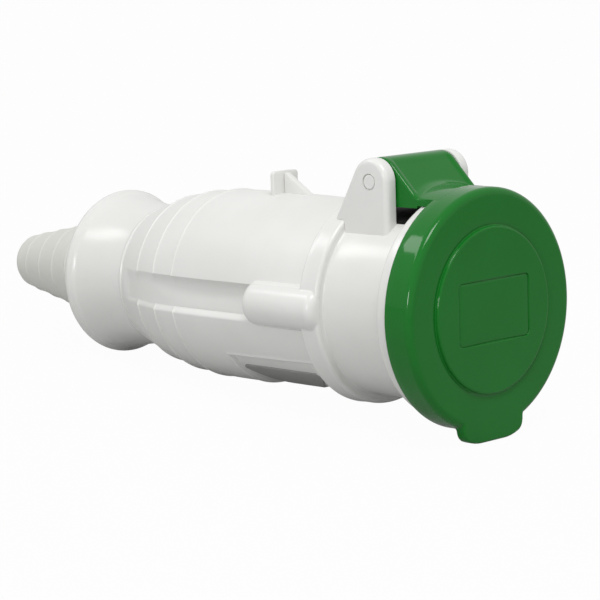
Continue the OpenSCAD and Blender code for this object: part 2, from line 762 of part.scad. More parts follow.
// Radius of the nut's bell at a distance behind its front face
function bell_r(d) = nut_waist_r + (nut_r - nut_waist_r) * pow(max(d, 0) / (nut_len - nut_edge_r), 2);

module gland_nut() color(shell_grey) resting() {
    turned(concat(
        [[neck_r + slip_gap, tail_y], [nut_waist_r - 0.4, tail_y], [nut_waist_r, tail_y + 0.4]],
        [for (k = [1:11]) let (d = (nut_len - nut_edge_r) * k / 12) [bell_r(d), tail_y + d]],
        corner(nut_r - nut_edge_r, nut_rear_y - nut_edge_r, nut_edge_r, 0, 90),
        [[boot_front_r + 0.8, nut_rear_y], [boot_front_r + slip_gap, nut_rear_y - 0.7],
         [boot_front_r + slip_gap, neck_end_y + cage_flange_t + boot_flange_t],
         [boot_flange_r + slip_gap, neck_end_y + cage_flange_t + boot_flange_t],
         [boot_flange_r + slip_gap, neck_end_y - 0.5], [neck_r + slip_gap, neck_end_y - 0.5]]));
}

boot_rings = 5;
boot_ring_step = 0.35;
boot_tip_r = boot_tip_d / 2;
boot_ring_pitch = 10.7;
boot_ring_first = 9.9;
function boot_r(y) = boot_front_r + (boot_tip_r - boot_front_r) * (y - nut_rear_y) / boot_len;
boot_ring_y = [for (k = [boot_rings - 1:-1:0]) boot_tip_y - boot_ring_first - boot_ring_pitch * k];

module cable_boot() color(boot_grey) resting() {
    seat_y = neck_end_y + cage_flange_t;
    turned(concat(
        [[cable_r + 0.4, seat_y], [boot_flange_r, seat_y], [boot_flange_r, seat_y + boot_flange_t],
         [boot_front_r, seat_y + boot_flange_t], [boot_front_r, nut_rear_y]],
        [for (y = boot_ring_y) each [[boot_r(y) + boot_ring_step, y - 0.3], [boot_r(y), y + 0.2]]],
        corner(boot_tip_r - 2.2, boot_tip_y - 2.2, 2.2, 0, 90, 6),
        [[cable_r + 0.6, boot_tip_y], [cable_r, boot_tip_y - 0.6], [cable_r, boot_tip_y - 14],
         [boot_front_r - 6, nut_rear_y], [boot_front_r - 6, seat_y + 5]]));
}

front_housing();
hinge_pad();
hinge_pin();
hinge_spring();
lid();
lid_gasket();
contact_carrier();
carrier_base();
contact_retainer();
carrier_screw_left();
carrier_screw_right();
contact_earth();
contact_l1();
contact_l2();
contact_l3();
terminal_screw_earth();
terminal_screw_l1();
terminal_screw_l2();
terminal_screw_l3();
handle();
label_plate();
body_seal();
assembly_screw_left();
assembly_screw_right();
clamp_cage();
cable_grommet();
gland_nut();
cable_boot();
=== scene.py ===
# %% [markdown]
# # An industrial cable connector, dressed in Blender
# The object is the female end of a pin and sleeve pair: a green sprung lid covers the mouth of a
# light grey housing, a waisted handle is screwed on behind it, and a belled gland nut holds a soft
# cable boot. The rigid frame comes from a CAD model, already in place and at real size. This lesson
# lays finer surfaces over it, gives each its plastic, rubber or metal, and sets up a plain studio.
# We start with the frame, and keep its box, because no dressed piece may reach out of it.

# %% Load the frame
import json
import math
import bmesh
import bpy
import numpy as np
from mathutils import Matrix, Vector


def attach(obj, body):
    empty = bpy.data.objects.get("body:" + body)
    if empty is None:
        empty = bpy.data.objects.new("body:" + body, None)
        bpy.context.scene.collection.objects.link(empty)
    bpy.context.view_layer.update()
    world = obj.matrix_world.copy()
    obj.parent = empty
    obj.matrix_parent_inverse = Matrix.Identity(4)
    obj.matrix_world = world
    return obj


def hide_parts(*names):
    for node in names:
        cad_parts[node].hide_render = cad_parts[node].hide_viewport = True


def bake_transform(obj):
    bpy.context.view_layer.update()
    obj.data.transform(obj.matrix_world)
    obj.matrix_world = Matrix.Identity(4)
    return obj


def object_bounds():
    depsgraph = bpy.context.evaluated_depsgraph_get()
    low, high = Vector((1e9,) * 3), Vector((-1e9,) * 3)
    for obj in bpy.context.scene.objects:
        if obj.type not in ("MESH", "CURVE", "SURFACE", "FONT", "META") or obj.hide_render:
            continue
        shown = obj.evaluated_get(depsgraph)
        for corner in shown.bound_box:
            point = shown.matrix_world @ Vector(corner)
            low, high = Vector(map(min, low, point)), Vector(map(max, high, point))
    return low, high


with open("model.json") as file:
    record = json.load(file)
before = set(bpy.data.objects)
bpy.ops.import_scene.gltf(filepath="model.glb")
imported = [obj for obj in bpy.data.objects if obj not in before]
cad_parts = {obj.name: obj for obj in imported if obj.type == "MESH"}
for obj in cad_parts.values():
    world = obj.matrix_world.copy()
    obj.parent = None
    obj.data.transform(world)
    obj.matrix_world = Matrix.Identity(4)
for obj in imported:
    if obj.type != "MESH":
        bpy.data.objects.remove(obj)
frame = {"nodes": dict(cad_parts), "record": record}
cad_box = [list(corner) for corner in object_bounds()]
print("CAD box in mm:", np.round(np.array(cad_box) * 1000, 1).tolist())

# %% [markdown]
# ## Drawing along the connector's own axis
# The connector lies on its lid's finger tab and on the nut's rim, so its axis dips by a few degrees.
# Drawing on a tilted axis is awkward. It is easier to work in millimetres with the mouth at y = 0,
# the cable end at +y and the hinge at +z, and to turn every finished array of points once.

# %% From the connector's axis to the table
TILT = math.radians(4.32603)
COS_TILT, SIN_TILT = math.cos(TILT), math.sin(TILT)


def lay_down(points):
    """Millimetres on the connector's axis to metres on the table: a turn about X by the tilt."""
    x, y, z = np.moveaxis(np.asarray(points, float) / 1000, -1, 0)
    return np.stack([x, y * COS_TILT + z * SIN_TILT, z * COS_TILT - y * SIN_TILT], -1)


PIN = (32.6, 45.1)                      # the hinge pin: distance behind the mouth, and height
print("hinge pin lies at", np.round(lay_down([0, *PIN]) * 1000, 2), "mm")

# %% [markdown]
# ## One way to make every skin
# Each piece is a surface of two parameters, worked out as a grid of points. Neighbouring points give
# the quads, and a grid can close on itself along either direction. Rows that shrink to one point
# make a pole, which merging closes. A closed skin whose signed volume comes out negative was wound
# inside out, so its quads are turned round. This is cheaper and surer than guessing.

# %% Skins
def quads_of(index):
    """The four corner numbers of every quad between neighbours in a grid of point numbers."""
    corners = [index[:-1, :-1], index[1:, :-1], index[1:, 1:], index[:-1, 1:]]
    return np.stack(corners, -1).reshape(-1, 4)


def skin(grid, ring_rows=True, ring_cols=True):
    """Points of shape (rows, columns, 3) to (points, quads), closed on itself where it is a ring.

    Six times the volume is the sum over the quads a, b, c, d of a . (b x c) + a . (c x d).
    """
    index = np.arange(grid.shape[0] * grid.shape[1]).reshape(grid.shape[:2])
    if ring_rows:
        index = np.vstack([index, index[:1]])
    if ring_cols:
        index = np.hstack([index, index[:, :1]])
    quads = quads_of(index)
    p = grid.reshape(-1, 3)
    a, b, c, d = (p[quads[:, k]] for k in range(4))
    volume = np.einsum("ij,ij->", a, np.cross(b, c)) + np.einsum("ij,ij->", a, np.cross(c, d))
    return p, quads if volume > 0 else quads[:, ::-1]


print("a grid of 3 by 4 points has", len(quads_of(np.arange(12).reshape(3, 4))), "quads")

# %% [markdown]
# A skin is only points and corner numbers. The next helpers make it an object: points that coincide
# at seams and poles are merged, and the shading runs smoothly over every edge but the sharp ones.

# %% From skins to an object
SAME_POINT = 3e-7                       # metres: a new skin's points closer than this are one


def link_new(name, data):
    """A new object of this name round its data, put into the scene."""
    thing = bpy.data.objects.new(name, data)
    bpy.context.scene.collection.objects.link(thing)
    return thing


def smooth(mesh, sharp):
    """Smooth shading, but for edges that turn by more than `sharp` degrees."""
    mesh.shade_smooth()
    mesh.set_sharp_from_angle(angle=math.radians(sharp))


def merge_and_smooth(mesh, nearest, sharp):
    """Merges points less than `nearest` metres apart, then shades the mesh."""
    bm = bmesh.new()
    bm.from_mesh(mesh)
    bmesh.ops.remove_doubles(bm, verts=bm.verts, dist=nearest)
    bm.to_mesh(mesh)
    bm.free()
    smooth(mesh, sharp)


def mesh_piece(name, *skins, sharp=35):
    """One object from one or more closed skins, laid down on the table, with its doubles merged."""
    shift = np.cumsum([0] + [len(p) for p, _ in skins])
    points = lay_down(np.vstack([p for p, _ in skins]))
    quads = np.vstack([q + k for (_, q), k in zip(skins, shift)])
    mesh = bpy.data.meshes.new(name)
    mesh.from_pydata(points.tolist(), [], quads.tolist())
    merge_and_smooth(mesh, SAME_POINT, sharp)
    print(f"{name}: {len(mesh.polygons)} faces")
    return link_new(name, mesh)


# %% [markdown]
# ## Materials as small sums
# A finish is a handful of numbers and masks. Writing each Math node by hand hides the idea, so one
# small class wraps a socket: adding or multiplying two of them places the node. Every other node
# comes from one function that takes its type, its settings and its inputs.

# %% The socket wrapper
class Signal:
    """A number that varies over a surface: + - and * on it place Math nodes."""

    def __init__(self, tree, socket):
        self.tree, self.socket = tree, socket

    def math(self, operation, first, second):
        settings = {"operation": operation}
        return add_node(self.tree, "ShaderNodeMath", settings, {0: first, 1: second})

    def __add__(self, other): return self.math("ADD", self, other)
    def __radd__(self, other): return self.math("ADD", other, self)
    def __sub__(self, other): return self.math("SUBTRACT", self, other)
    def __rsub__(self, other): return self.math("SUBTRACT", other, self)
    def __mul__(self, other): return self.math("MULTIPLY", self, other)
    def __rmul__(self, other): return self.math("MULTIPLY", other, self)
    def largest(self, other): return self.math("MAXIMUM", self, other)
    def size(self): return self.math("ABSOLUTE", self, 0)


def plug(tree, slot, value):
    """Links a Signal to an input, or writes a plain number or colour on it."""
    if isinstance(value, Signal):
        tree.links.new(value.socket, slot)
    else:
        slot.default_value = value


def add_node(tree, kind, settings, inputs, output=0):
    """Any node: its type, the settings to make first, its inputs, and the output wanted."""
    node = tree.nodes.new(kind)
    for key, value in settings.items():
        setattr(node, key, value)
    for key, value in inputs.items():
        plug(tree, node.inputs[key], value)
    return Signal(tree, node.outputs[output])


# %% [markdown]
# A finish is one Principled shader. What is the same everywhere is written on its own sockets. Only
# what varies over the surface is linked, and only to the colour, the roughness and the bump. All
# patterns read the object's own coordinates, so they stay on the plastic when the lid swings.

# %% A finish
class Finish:
    """A material with one Principled shader, whose constants are set on its own sockets."""

    def __init__(self, name, **constants):
        self.material = bpy.data.materials.new(name)
        self.material.use_nodes = True
        self.tree = self.material.node_tree
        self.shader = self.tree.nodes["Principled BSDF"]
        for key, value in constants.items():
            self.shader.inputs[key.replace("_", " ")].default_value = value
        self.place = self.add("ShaderNodeTexCoord", {}, {}, "Object")

    def add(self, kind, settings, inputs, output=0):
        """A node in this material."""
        return add_node(self.tree, kind, settings, inputs, output)

    def noise(self, scale, detail=2.0, roughness=0.5):
        """Cloudy values from 0 to 1, about `scale` features to the metre."""
        inputs = {"Vector": self.place, "Scale": scale, "Detail": detail, "Roughness": roughness}
        return self.add("ShaderNodeTexNoise", {}, inputs, "Fac")

    def step(self, value, low, high):
        """0 below low and 1 above high, with a smooth change between."""
        return self.add("ShaderNodeMapRange", {"interpolation_type": "SMOOTHSTEP"},
                        {"Value": value, "From Min": low, "From Max": high}, "Result")

    def blend(self, factor, first, second):
        """A colour between two, by a factor."""
        return self.add("ShaderNodeMix", {"data_type": "RGBA"}, {0: factor, 6: first, 7: second}, 2)

    def along_axis(self):
        """Distance to the side and distance behind the mouth, in metres on the connector's axis."""
        parts = self.add("ShaderNodeSeparateXYZ", {}, {0: self.place}).socket.node
        x, y, z = (Signal(self.tree, socket) for socket in parts.outputs)
        return x, y * COS_TILT - z * SIN_TILT

    def surface(self, colour, roughness=None, height=None, depth=0.00002, strength=1.0):
        """Links what varies: colour, roughness, and the height of a bump of `depth` metres."""
        plug(self.tree, self.shader.inputs["Base Color"], colour)
        if roughness is not None:
            plug(self.tree, self.shader.inputs["Roughness"], roughness)
        if height is not None:
            bump = self.add("ShaderNodeBump", {},
                            {"Height": height, "Distance": depth, "Strength": strength})
            plug(self.tree, self.shader.inputs["Normal"], bump)
        return self.material


# %% [markdown]
# ## Hard mouldings
# The housing, the collar and the nut are a glossy grey plastic. What makes it look moulded and not
# computed is very slight: the colour is a touch cloudy, the gloss changes where hands have been, and
# the skin has a faint unevenness that bends reflections.

# %% Shell
GREY, GREY_SHADE = (0.775, 0.775, 0.755, 1), (0.735, 0.735, 0.712, 1)

f = Finish("shell_gloss", IOR=1.5)
cloud, hands, ripple = f.noise(22, 3), f.noise(60, 4, 0.6), f.noise(260, 2)
specks = f.step(f.noise(2600, 2), 0.72, 0.80)
shell_gloss = f.surface(
    f.blend(f.step(cloud, 0.3, 0.7), GREY, GREY_SHADE),
    0.20 + 0.04 * f.step(hands, 0.25, 0.85) + 0.05 * specks,
    height=ripple + 0.12 * hands, depth=0.00003, strength=0.35)
print("made", shell_gloss.name)

# %% [markdown]
# The handle's grip is the same plastic from a spark-eroded mould, so its fine grain takes the shine
# off. A mask along the axis keeps its collar and the two screw bosses glossy, as they are on the
# real one. The bosses are the part of the handle furthest to the side, so one number finds them.

# %% Grip
f = Finish("handle_satin", IOR=1.5)
across, along = f.along_axis()
boss = f.step(across.size(), 0.0362, 0.0370) * (1 - f.step(along, 0.0805, 0.0815))
polished = (1 - f.step(along, 0.0532, 0.0542)).largest(boss)
grain, cloud, hands = f.noise(4200, 3, 0.6), f.noise(26, 3), f.noise(70, 4, 0.6)
handle_satin = f.surface(
    f.blend(f.step(cloud, 0.3, 0.7), GREY, GREY_SHADE),
    0.22 * polished + (0.43 + 0.10 * f.step(hands, 0.35, 0.75)) * (1 - polished),
    height=grain * (1 - polished) + 0.1 * hands, depth=0.00005, strength=0.5)
print("made", handle_satin.name)

# %% [markdown]
# The lid is coloured right through and comes from a polished mould, so it is the glossiest piece. A
# deep colour shows every reflection, so its surface shine is set a little lower than the grey's.

# %% Lid
f = Finish("lid_green", IOR=1.5, Specular_IOR_Level=0.28)
cloud, hands, ripple = f.noise(30, 3), f.noise(75, 4, 0.6), f.noise(240, 2)
lid_green = f.surface(
    f.blend(f.step(cloud, 0.3, 0.7), (0.0056, 0.160, 0.0150, 1), (0.0046, 0.147, 0.0122, 1)),
    0.085 + 0.04 * f.step(hands, 0.3, 0.85),
    height=ripple, depth=0.00003, strength=0.15)
print("made", lid_green.name)

# %% [markdown]
# ## Soft parts
# The cable boot is a soft plastic, matt because its skin is covered with tiny bumps, and a little
# dusty in patches. Seals are black rubber. The insulator that holds the contacts is filled with
# short fibres, which give it a dull speckle, and the label plate is a grey foil, faintly streaked.

# %% Boot, seals, insulator and plate
f = Finish("boot_grey", IOR=1.45)
pores, dust = f.noise(2300, 4, 0.65), f.step(f.noise(45, 4, 0.6), 0.42, 0.8)
boot_grey = f.surface(
    f.blend(dust, (0.67, 0.67, 0.632, 1), (0.72, 0.715, 0.672, 1)),
    0.60 + 0.15 * dust, height=pores, depth=0.00006, strength=0.5)

f = Finish("seal_black", IOR=1.5, Specular_IOR_Level=0.15)
pores, dust = f.noise(1800, 4, 0.6), f.step(f.noise(90, 4, 0.6), 0.45, 0.8)
seal_black = f.surface(
    f.blend(dust, (0.006, 0.006, 0.006, 1), (0.014, 0.0135, 0.013, 1)),
    0.50 + 0.20 * dust, height=pores, depth=0.00005, strength=0.4)

f = Finish("insulator", IOR=1.52)
fibres = f.noise(1500, 5, 0.7)
insulator = f.surface(
    f.blend(f.step(fibres, 0.4, 0.7), (0.060, 0.063, 0.067, 1), (0.085, 0.088, 0.092, 1)),
    0.38 + 0.14 * fibres, height=fibres, depth=0.00004, strength=0.4)

f = Finish("plate_grey", IOR=1.5)
cloud, streaks = f.noise(60, 3), f.noise(900, 3)
plate_grey = f.surface(
    f.blend(f.step(cloud, 0.3, 0.7), (0.300, 0.300, 0.292, 1), (0.280, 0.280, 0.272, 1)),
    0.42 + 0.10 * streaks, height=streaks, depth=0.00003, strength=0.3)
print("made", [m.name for m in (boot_grey, seal_black, insulator, plate_grey)])

# %% [markdown]
# ## Metals
# The contacts are turned brass: turning leaves fine rings round the axis, so their bump follows the
# distance along it, and old fingerprints have tarnished them in patches. The screws and the spring
# are zinc-plated steel, whose plating is cloudy.

# %% Contacts, screws and spring
f = Finish("contact_metal", Metallic=1.0)
_, along = f.along_axis()
rings = f.add("ShaderNodeTexNoise", {"noise_dimensions": "1D"},
              {"W": along, "Scale": 5200.0, "Detail": 2.0}, "Fac")
tarnish = f.step(f.noise(120, 4, 0.6), 0.45, 0.8)
contact_metal = f.surface(
    f.blend(tarnish, (0.80, 0.62, 0.33, 1), (0.58, 0.42, 0.22, 1)),
    0.24 + 0.18 * tarnish, height=rings, depth=0.00002, strength=0.35)

f = Finish("screw_steel", Metallic=1.0)
plating = f.noise(420, 4, 0.6)
screw_steel = f.surface(
    f.blend(f.step(plating, 0.35, 0.7), (0.62, 0.62, 0.63, 1), (0.48, 0.48, 0.50, 1)),
    0.28 + 0.20 * plating, height=plating, depth=0.00001, strength=0.4)
print("made", [m.name for m in (contact_metal, screw_steel)])

# %% [markdown]
# ## Dressing a piece
# Every new piece stands for a CAD node, moves with a body and takes a material slot's finish.
# One short function keeps these facts together with the material.

# %% Dress
FINISHES = dict(
    shell_gloss=shell_gloss, handle_satin=handle_satin, lid_green=lid_green, boot_grey=boot_grey,
    seal_black=seal_black, insulator=insulator, plate_grey=plate_grey,
    contact_metal=contact_metal, screw_steel=screw_steel)


def dress(piece, finish, body, *nodes):
    """Puts a finish on a piece, lets it ride with a body and stand for the named CAD nodes."""
    piece.data.materials.clear()
    piece.data.materials.append(FINISHES[finish])
    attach(piece, body)
    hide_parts(*nodes)
    return piece


print("finishes:", sorted(FINISHES))

# %% [markdown]
# ## The handle
# The handle is one moulding: a collar, a barrel that swells and then narrows to the nut, two bosses
# for the assembly screws, a groove behind each boss for the screwdriver, three grip rings, and a
# shallow seat for a label below. All of it can be seen from the axis without anything hiding behind
# anything else, so the whole outside is one function: a radius for every direction and distance.
# Nothing on a moulding starts abruptly, so it is put together from soft steps and rounded maxima.

# %% Soft steps
def ramp(x, low, high):
    """0 below low, 1 above high, and an S-shaped step between: 3 t squared less 2 t cubed."""
    t = np.clip((x - low) / (high - low), 0, 1)
    return t * t * (3 - 2 * t)


def soft_max(a, b, k):
    """The larger of two heights, with the crease between them rounded over about k."""
    h = np.clip(0.5 + 0.5 * (a - b) / k, 0, 1)
    return a * h + b * (1 - h) + k * h * (1 - h)


def round_over(past, radius):
    """A quarter circle: the full radius up to its start, and 0 once `past` it by the radius."""
    return np.sqrt(np.clip(radius ** 2 - np.clip(past, 0, radius) ** 2, 0, None))


print("a ramp's start, quarter, middle and end:", ramp(np.array([0, 0.25, 0.5, 1]), 0, 1))

# %% [markdown]
# The barrel's line comes first, as a smooth curve with one crest. The grip rings are then small
# steps below that line, so that they follow it wherever it goes.

# %% The barrel's line
TAIL = 160.5                            # where the handle meets the gland nut
CREST_Y, CREST_R = 110, 36.1            # the barrel is fullest here
RINGS = (124.0, 135.7, 147.3)           # where each grip ring starts


def barrel(y):
    """Barrel radius: from its crest it falls as a square in front and as a 2.5th power behind."""
    front = CREST_R - 1.1 * (np.clip(CREST_Y - y, 0, None) / 56.4) ** 2
    return front - 8.2 * (np.clip(y - CREST_Y, 0, None) / (TAIL - CREST_Y)) ** 2.5


def grip(y):
    """Depth below the barrel's line: each ring drops by 0.5 and then rises slowly to the next.

    A lip stands 0.45 high just in front of each drop, steeper on its front side.
    """
    ends = RINGS[1:] + (TAIL,)
    drop = sum(0.5 * ramp(y, a - 0.35, a + 0.75) * (1 - np.clip((y - a) / (b - a), 0, 1))
               for a, b in zip(RINGS, ends))
    past = [y - a + 0.45 for a in RINGS]
    return drop - sum(0.45 * np.exp(-(d / np.where(d < 0, 0.26, 0.62)) ** 2) for d in past)


print("barrel radius at the collar, crest and tail:",
      np.round(barrel(np.array([54.0, CREST_Y, TAIL])), 2))

# %% [markdown]
# The groove lets a screwdriver reach the screw from behind. Its upper wall is steep, and its floor
# slants outwards as it goes down, which keeps the wall's thickness even and lets the mould open.
# The label's seat is sunk to one radius and framed by a low bead.

# %% Groove and label seat
D = math.radians(1)                     # one degree
SEAT = 34.7                             # radius of the label's seat


def groove(r, side, y):
    """The barrel's radius with the groove carved into it, wherever its floor lies deeper."""
    height = r * np.sin(side)
    floor = 33.0 + 1.1 * ramp(-height, -3.0, 5.2) - 0.22 * np.exp(-((height + 5.3) / 0.45) ** 2)
    least_depth = 1.1 + 1.0 * (1 - ramp(y, 124, 152))
    floor = -soft_max(-floor, least_depth - barrel(y), 0.5)
    below = 7.4 - 0.9 * ramp(y, 136, 154)                  # how far it reaches below the middle
    inside = ramp(height, -below, 2.3 - below) * (1 - np.clip((height - 3.0) / 3.7, 0, 1) ** 2.6)
    inside = inside * ramp(y, 74.8, 75.4) * (1 - ramp(y, 153.5, 158.5))
    return r - inside * np.clip(r - floor / np.cos(side), 0, None)


def label_seat(r, under, y):
    """The radius with the seat cut to 52 degrees each side of straight down, and its bead added."""
    edge = np.minimum(np.minimum(52 * D - under, (y - 56) / SEAT), (99.9 - y) / SEAT) * SEAT
    r = r + 0.28 * np.exp(-((edge + 0.9) / 0.5) ** 2) * (edge < 1)
    return r - ramp(edge, -0.25, 0.25) * np.clip(r - SEAT, 0, None)


print("the label's seat is sunk by", round(float(barrel(78)) - SEAT, 2), "mm")

# %% [markdown]
# The collar is the thick ring that grips the housing. A tiny step behind it, which dies away within
# a millimetre, makes the shadow line where it meets the barrel. Each boss is a rod with round ends
# that lies half sunk in the barrel, so its radius follows from where a ray leaves a circle.

# %% Collar, bosses and the whole outside
COLLAR_END = 53.6
BOSS = 33.2                             # how far out the two assembly screws lie


def collar(y):
    """Collar radius: a round-over in front and behind, a fine bead, then the step's fading tail."""
    front = 36.9 + round_over(46.2 - y, 1.3)
    back = 37.4 + round_over(y - 52.8, 0.8) - 38.2 + 0.18 * np.exp(-((y - 52.7) / 0.5) ** 2)
    tail = barrel(y) + 0.9 * np.exp(-(y - COLLAR_END) / 0.28)
    return np.where(y <= COLLAR_END, front + back, tail)


def boss_reach(side, y):
    """Where a ray from the axis leaves a rod of radius 8.3, 33.2 out, with ends rounded by 3.4."""
    rod = 4.9 + round_over(48.4 - y, 3.4) + round_over(y - 77.6, 3.4) - 3.4
    room = rod ** 2 - (BOSS * np.sin(side)) ** 2
    there = (room > 0) & (y > 44.95) & (y < 81.01)
    return np.where(there, BOSS * np.cos(side) + np.sqrt(np.clip(room, 0, None)), 0)


def handle_radius(a, y):
    """Radius in the direction a (from +X towards +Z) at distance y: carved first, then added to."""
    side = np.arctan2(np.sin(a), np.abs(np.cos(a)))        # angle above the nearer side
    under = np.abs(np.arctan2(np.cos(a), -np.sin(a)))      # angle away from straight down
    r = label_seat(groove(barrel(y) - grip(y), side, y), under, y)
    r = np.where(y < 60, np.maximum(r, collar(y)), r)
    return soft_max(r, boss_reach(side, y), 0.55)


print("radius over the collar, to the side and below:",
      np.round(handle_radius(np.array([90, 0, -90]) * D, np.array([50.0, 110, 78])), 2))

# %% [markdown]
# A grid of even steps would either miss the fine edges or waste points on plain ones. So the rows
# and columns are crowded where something happens. The outside then turns in at the tail, and the
# same grid runs back along the neck and the hollow inside, so the moulding has real walls.

# %% The handle as one closed skin
def spread(low, high, count, *busy):
    """`count` values from low to high, closer together near each busy (place, width, weight)."""
    t = np.linspace(low, high, 20001)
    density = 1 + 0 * t + sum(w * np.exp(-((t - p) / s) ** 2) for p, s, w in busy)
    total = np.concatenate([[0], np.cumsum((density[1:] + density[:-1]) / 2)])
    return np.interp(np.linspace(0, total[-1], count), total, t)


edges_round = [(-38, 1.6, 7), (218, 1.6, 7), (0, 17, 1.6), (180, 17, 1.6),
               (10.9, 0.8, 9), (169.1, 0.8, 9),
               (-8, 1.6, 5), (188, 1.6, 5), (-13, 2, 3), (13.5, 2, 3), (167, 2, 3), (193, 2, 3)]
edges_along = [(45.3, 1.0, 12), (47.5, 1.5, 4), (53.2, 0.6, 10), (56, 0.9, 7), (100, 0.9, 7),
               (75.1, 0.4, 6),
               (79.9, 1.4, 5), (81, 0.3, 8), (151.5, 3, 1)] + [(a, 0.9, 11) for a in RINGS]
jumps = [COLLAR_END - 0.001, COLLAR_END + 0.001, 53.75, 54.0, 80.99, 81.02]
around = spread(-90 * D, 270 * D, 401, *[(p * D, w * D, k) for p, w, k in edges_round])[:-1]
along = np.unique(np.concatenate([spread(44.951, TAIL - 0.5, 210, *edges_along), jumps]))
inner = np.array([
    (27.4, TAIL - 0.12), (26.9, TAIL), (23.5, TAIL), (23.5, 176), (22.5, 177), (20.2, 177),
    (20.2, 157.5),
    (24.4, 152.5), (27.9, 142.7), (29.8, 134), (31.1, 124), (31.1, 112), (31.1, 90), (31.1, 71),
    (31.1, 51.2), (36.0, 51.2), (36.0, 45.5), (36.5, 44.9)])
outer_r = handle_radius(around[None], along[:, None])
rows_r = np.vstack([outer_r, np.repeat(inner[:, :1], len(around), 1)])
rows_y = np.concatenate([along, inner[:, 1]])[:, None] + 0 * around
handle = mesh_piece("handle_shell",
                    skin(np.stack([rows_r * np.cos(around), rows_y, rows_r * np.sin(around)], -1)))

# %% [markdown]
# The screw's pocket enters each boss from behind, across the skin's own rows. Such a hole is easier
# to cut than to weave into the grid, so a rod is taken away from the finished mesh.

# %% Screw pockets
def rod_skin(start, stop, radius, sides=64):
    """A closed rod between two points in millimetres, with a pole at each end."""
    start, stop = np.asarray(start, float), np.asarray(stop, float)
    way = (stop - start) / np.linalg.norm(stop - start)
    side = np.cross(way, [0.3, 0.5, 0.8])                  # any direction that isn't the rod's own
    side /= np.linalg.norm(side)
    up = np.cross(way, side)
    a = np.linspace(0, 2 * np.pi, sides, endpoint=False)[:, None]
    ring = radius * (side * np.cos(a) + up * np.sin(a))
    rows = np.stack([start + 0 * ring, start + ring, stop + ring, stop + 0 * ring])
    return skin(rows, ring_rows=False)


def apply(piece, step):
    """Makes a modifier's result the piece's own mesh."""
    bpy.context.view_layer.objects.active = piece
    bpy.ops.object.modifier_apply(modifier=step.name)


def cut_away(piece, *cutters):
    """Boolean differences, applied, after which the cutters are thrown away."""
    for cutter in cutters:
        step = piece.modifiers.new("cut", "BOOLEAN")
        step.operation, step.solver, step.object = "DIFFERENCE", "EXACT", cutter
        apply(piece, step)
        bpy.data.objects.remove(cutter)
    smooth(piece.data, 35)


pockets = [rod_skin((s * BOSS, 72, 0), (s * BOSS, 82, 0), 3.7) for s in (-1, 1)]
cut_away(handle, *[mesh_piece(f"screw_pocket_{k}", pocket) for k, pocket in enumerate(pockets)])
dress(handle, "handle_satin", "housing", "handle")

# %% [markdown]
# A thin fin stands across the top of the handle, with a wedge in front of it: the catch that a
# matching inlet's hook drops behind. It is three extruded outlines with a small bevel, sunk a little
# into the barrel so that no gap shows.

# %% Catch fin
def arc(cx, cy, radius, start, stop, count=8):
    """Points on a circle's arc, by its centre, radius and first and last angle in degrees."""
    a = np.radians(np.linspace(start, stop, count))
    return np.stack([cx + radius * np.cos(a), cy + radius * np.sin(a)], -1)


def slab(outline, low, high, axis):
    """A flat outline carried along one axis from low to high, closed at both ends."""
    o = np.asarray(outline, float)
    middle = o.mean(0)
    rows = np.stack([0 * o + middle, o, o, 0 * o + middle])
    depth = np.array([low, low, high, high])[:, None] + 0 * o[:, 0]
    u, v = rows[..., 0], rows[..., 1]
    parts = {"x": (depth, u, v), "y": (u, depth, v)}[axis]
    return skin(np.stack(parts, -1), ring_rows=False)


ROOT = 33.1                             # the fin starts inside the barrel
plate = [(-6.5, ROOT), (6.5, ROOT), (6.5, 42.9), *arc(5.0, 42.9, 1.5, 0, 90, 5)[1:],
         *arc(-5.0, 42.9, 1.5, 90, 180, 5)]
wedge = [(95.9, ROOT), (95.9, 43.7), (95.2, 43.6), (82.6, 35.5), (82.6, ROOT)]
web = [(97.4, ROOT), (97.4, 43.2), (95.0, 43.2), (95.0, ROOT)]
fin = mesh_piece("catch_fin", slab(plate, 96.4, 98.2, "y"), slab(wedge, -1.3, 1.3, "x"),
                 slab(web, -0.7, 0.7, "x"))
bevel = fin.modifiers.new("soft edges", "BEVEL")
bevel.width, bevel.segments = 0.0003, 3
bevel.limit_method, bevel.angle_limit = "ANGLE", math.radians(40)
apply(fin, bevel)
smooth(fin.data, 50)
dress(fin, "handle_satin", "housing", "handle")

# %% [markdown]
# The label under the handle is a thin curved plate. It stays bare. Its outline is a rounded
# rectangle, which is the hull of four discs, and there is a neat way to walk round such a hull: by
# the direction that the edge faces. In each direction the disc that reaches furthest carries the
# edge, and making every disc smaller by the same amount moves the outline inwards, which is just
# what a rounded rim needs.

# %% Label plate
def hull_walk(discs, inset, angles):
    """Edge of the hull of (u, v, radius) discs, moved in by `inset`, at the faced angles."""
    d = np.asarray(discs, float)
    n = np.stack([np.cos(angles), np.sin(angles)], -1)
    best = np.argmax(n @ d[:, :2].T + d[:, 2], axis=1)
    return d[best, :2] + (d[best, 2:] - inset) * n


def corners(half_u, half_v, radius):
    """The four discs of a rounded rectangle about the middle."""
    u, v = half_u - radius, half_v - radius
    return [(s * u, t * v, radius) for s in (-1, 1) for t in (-1, 1)]


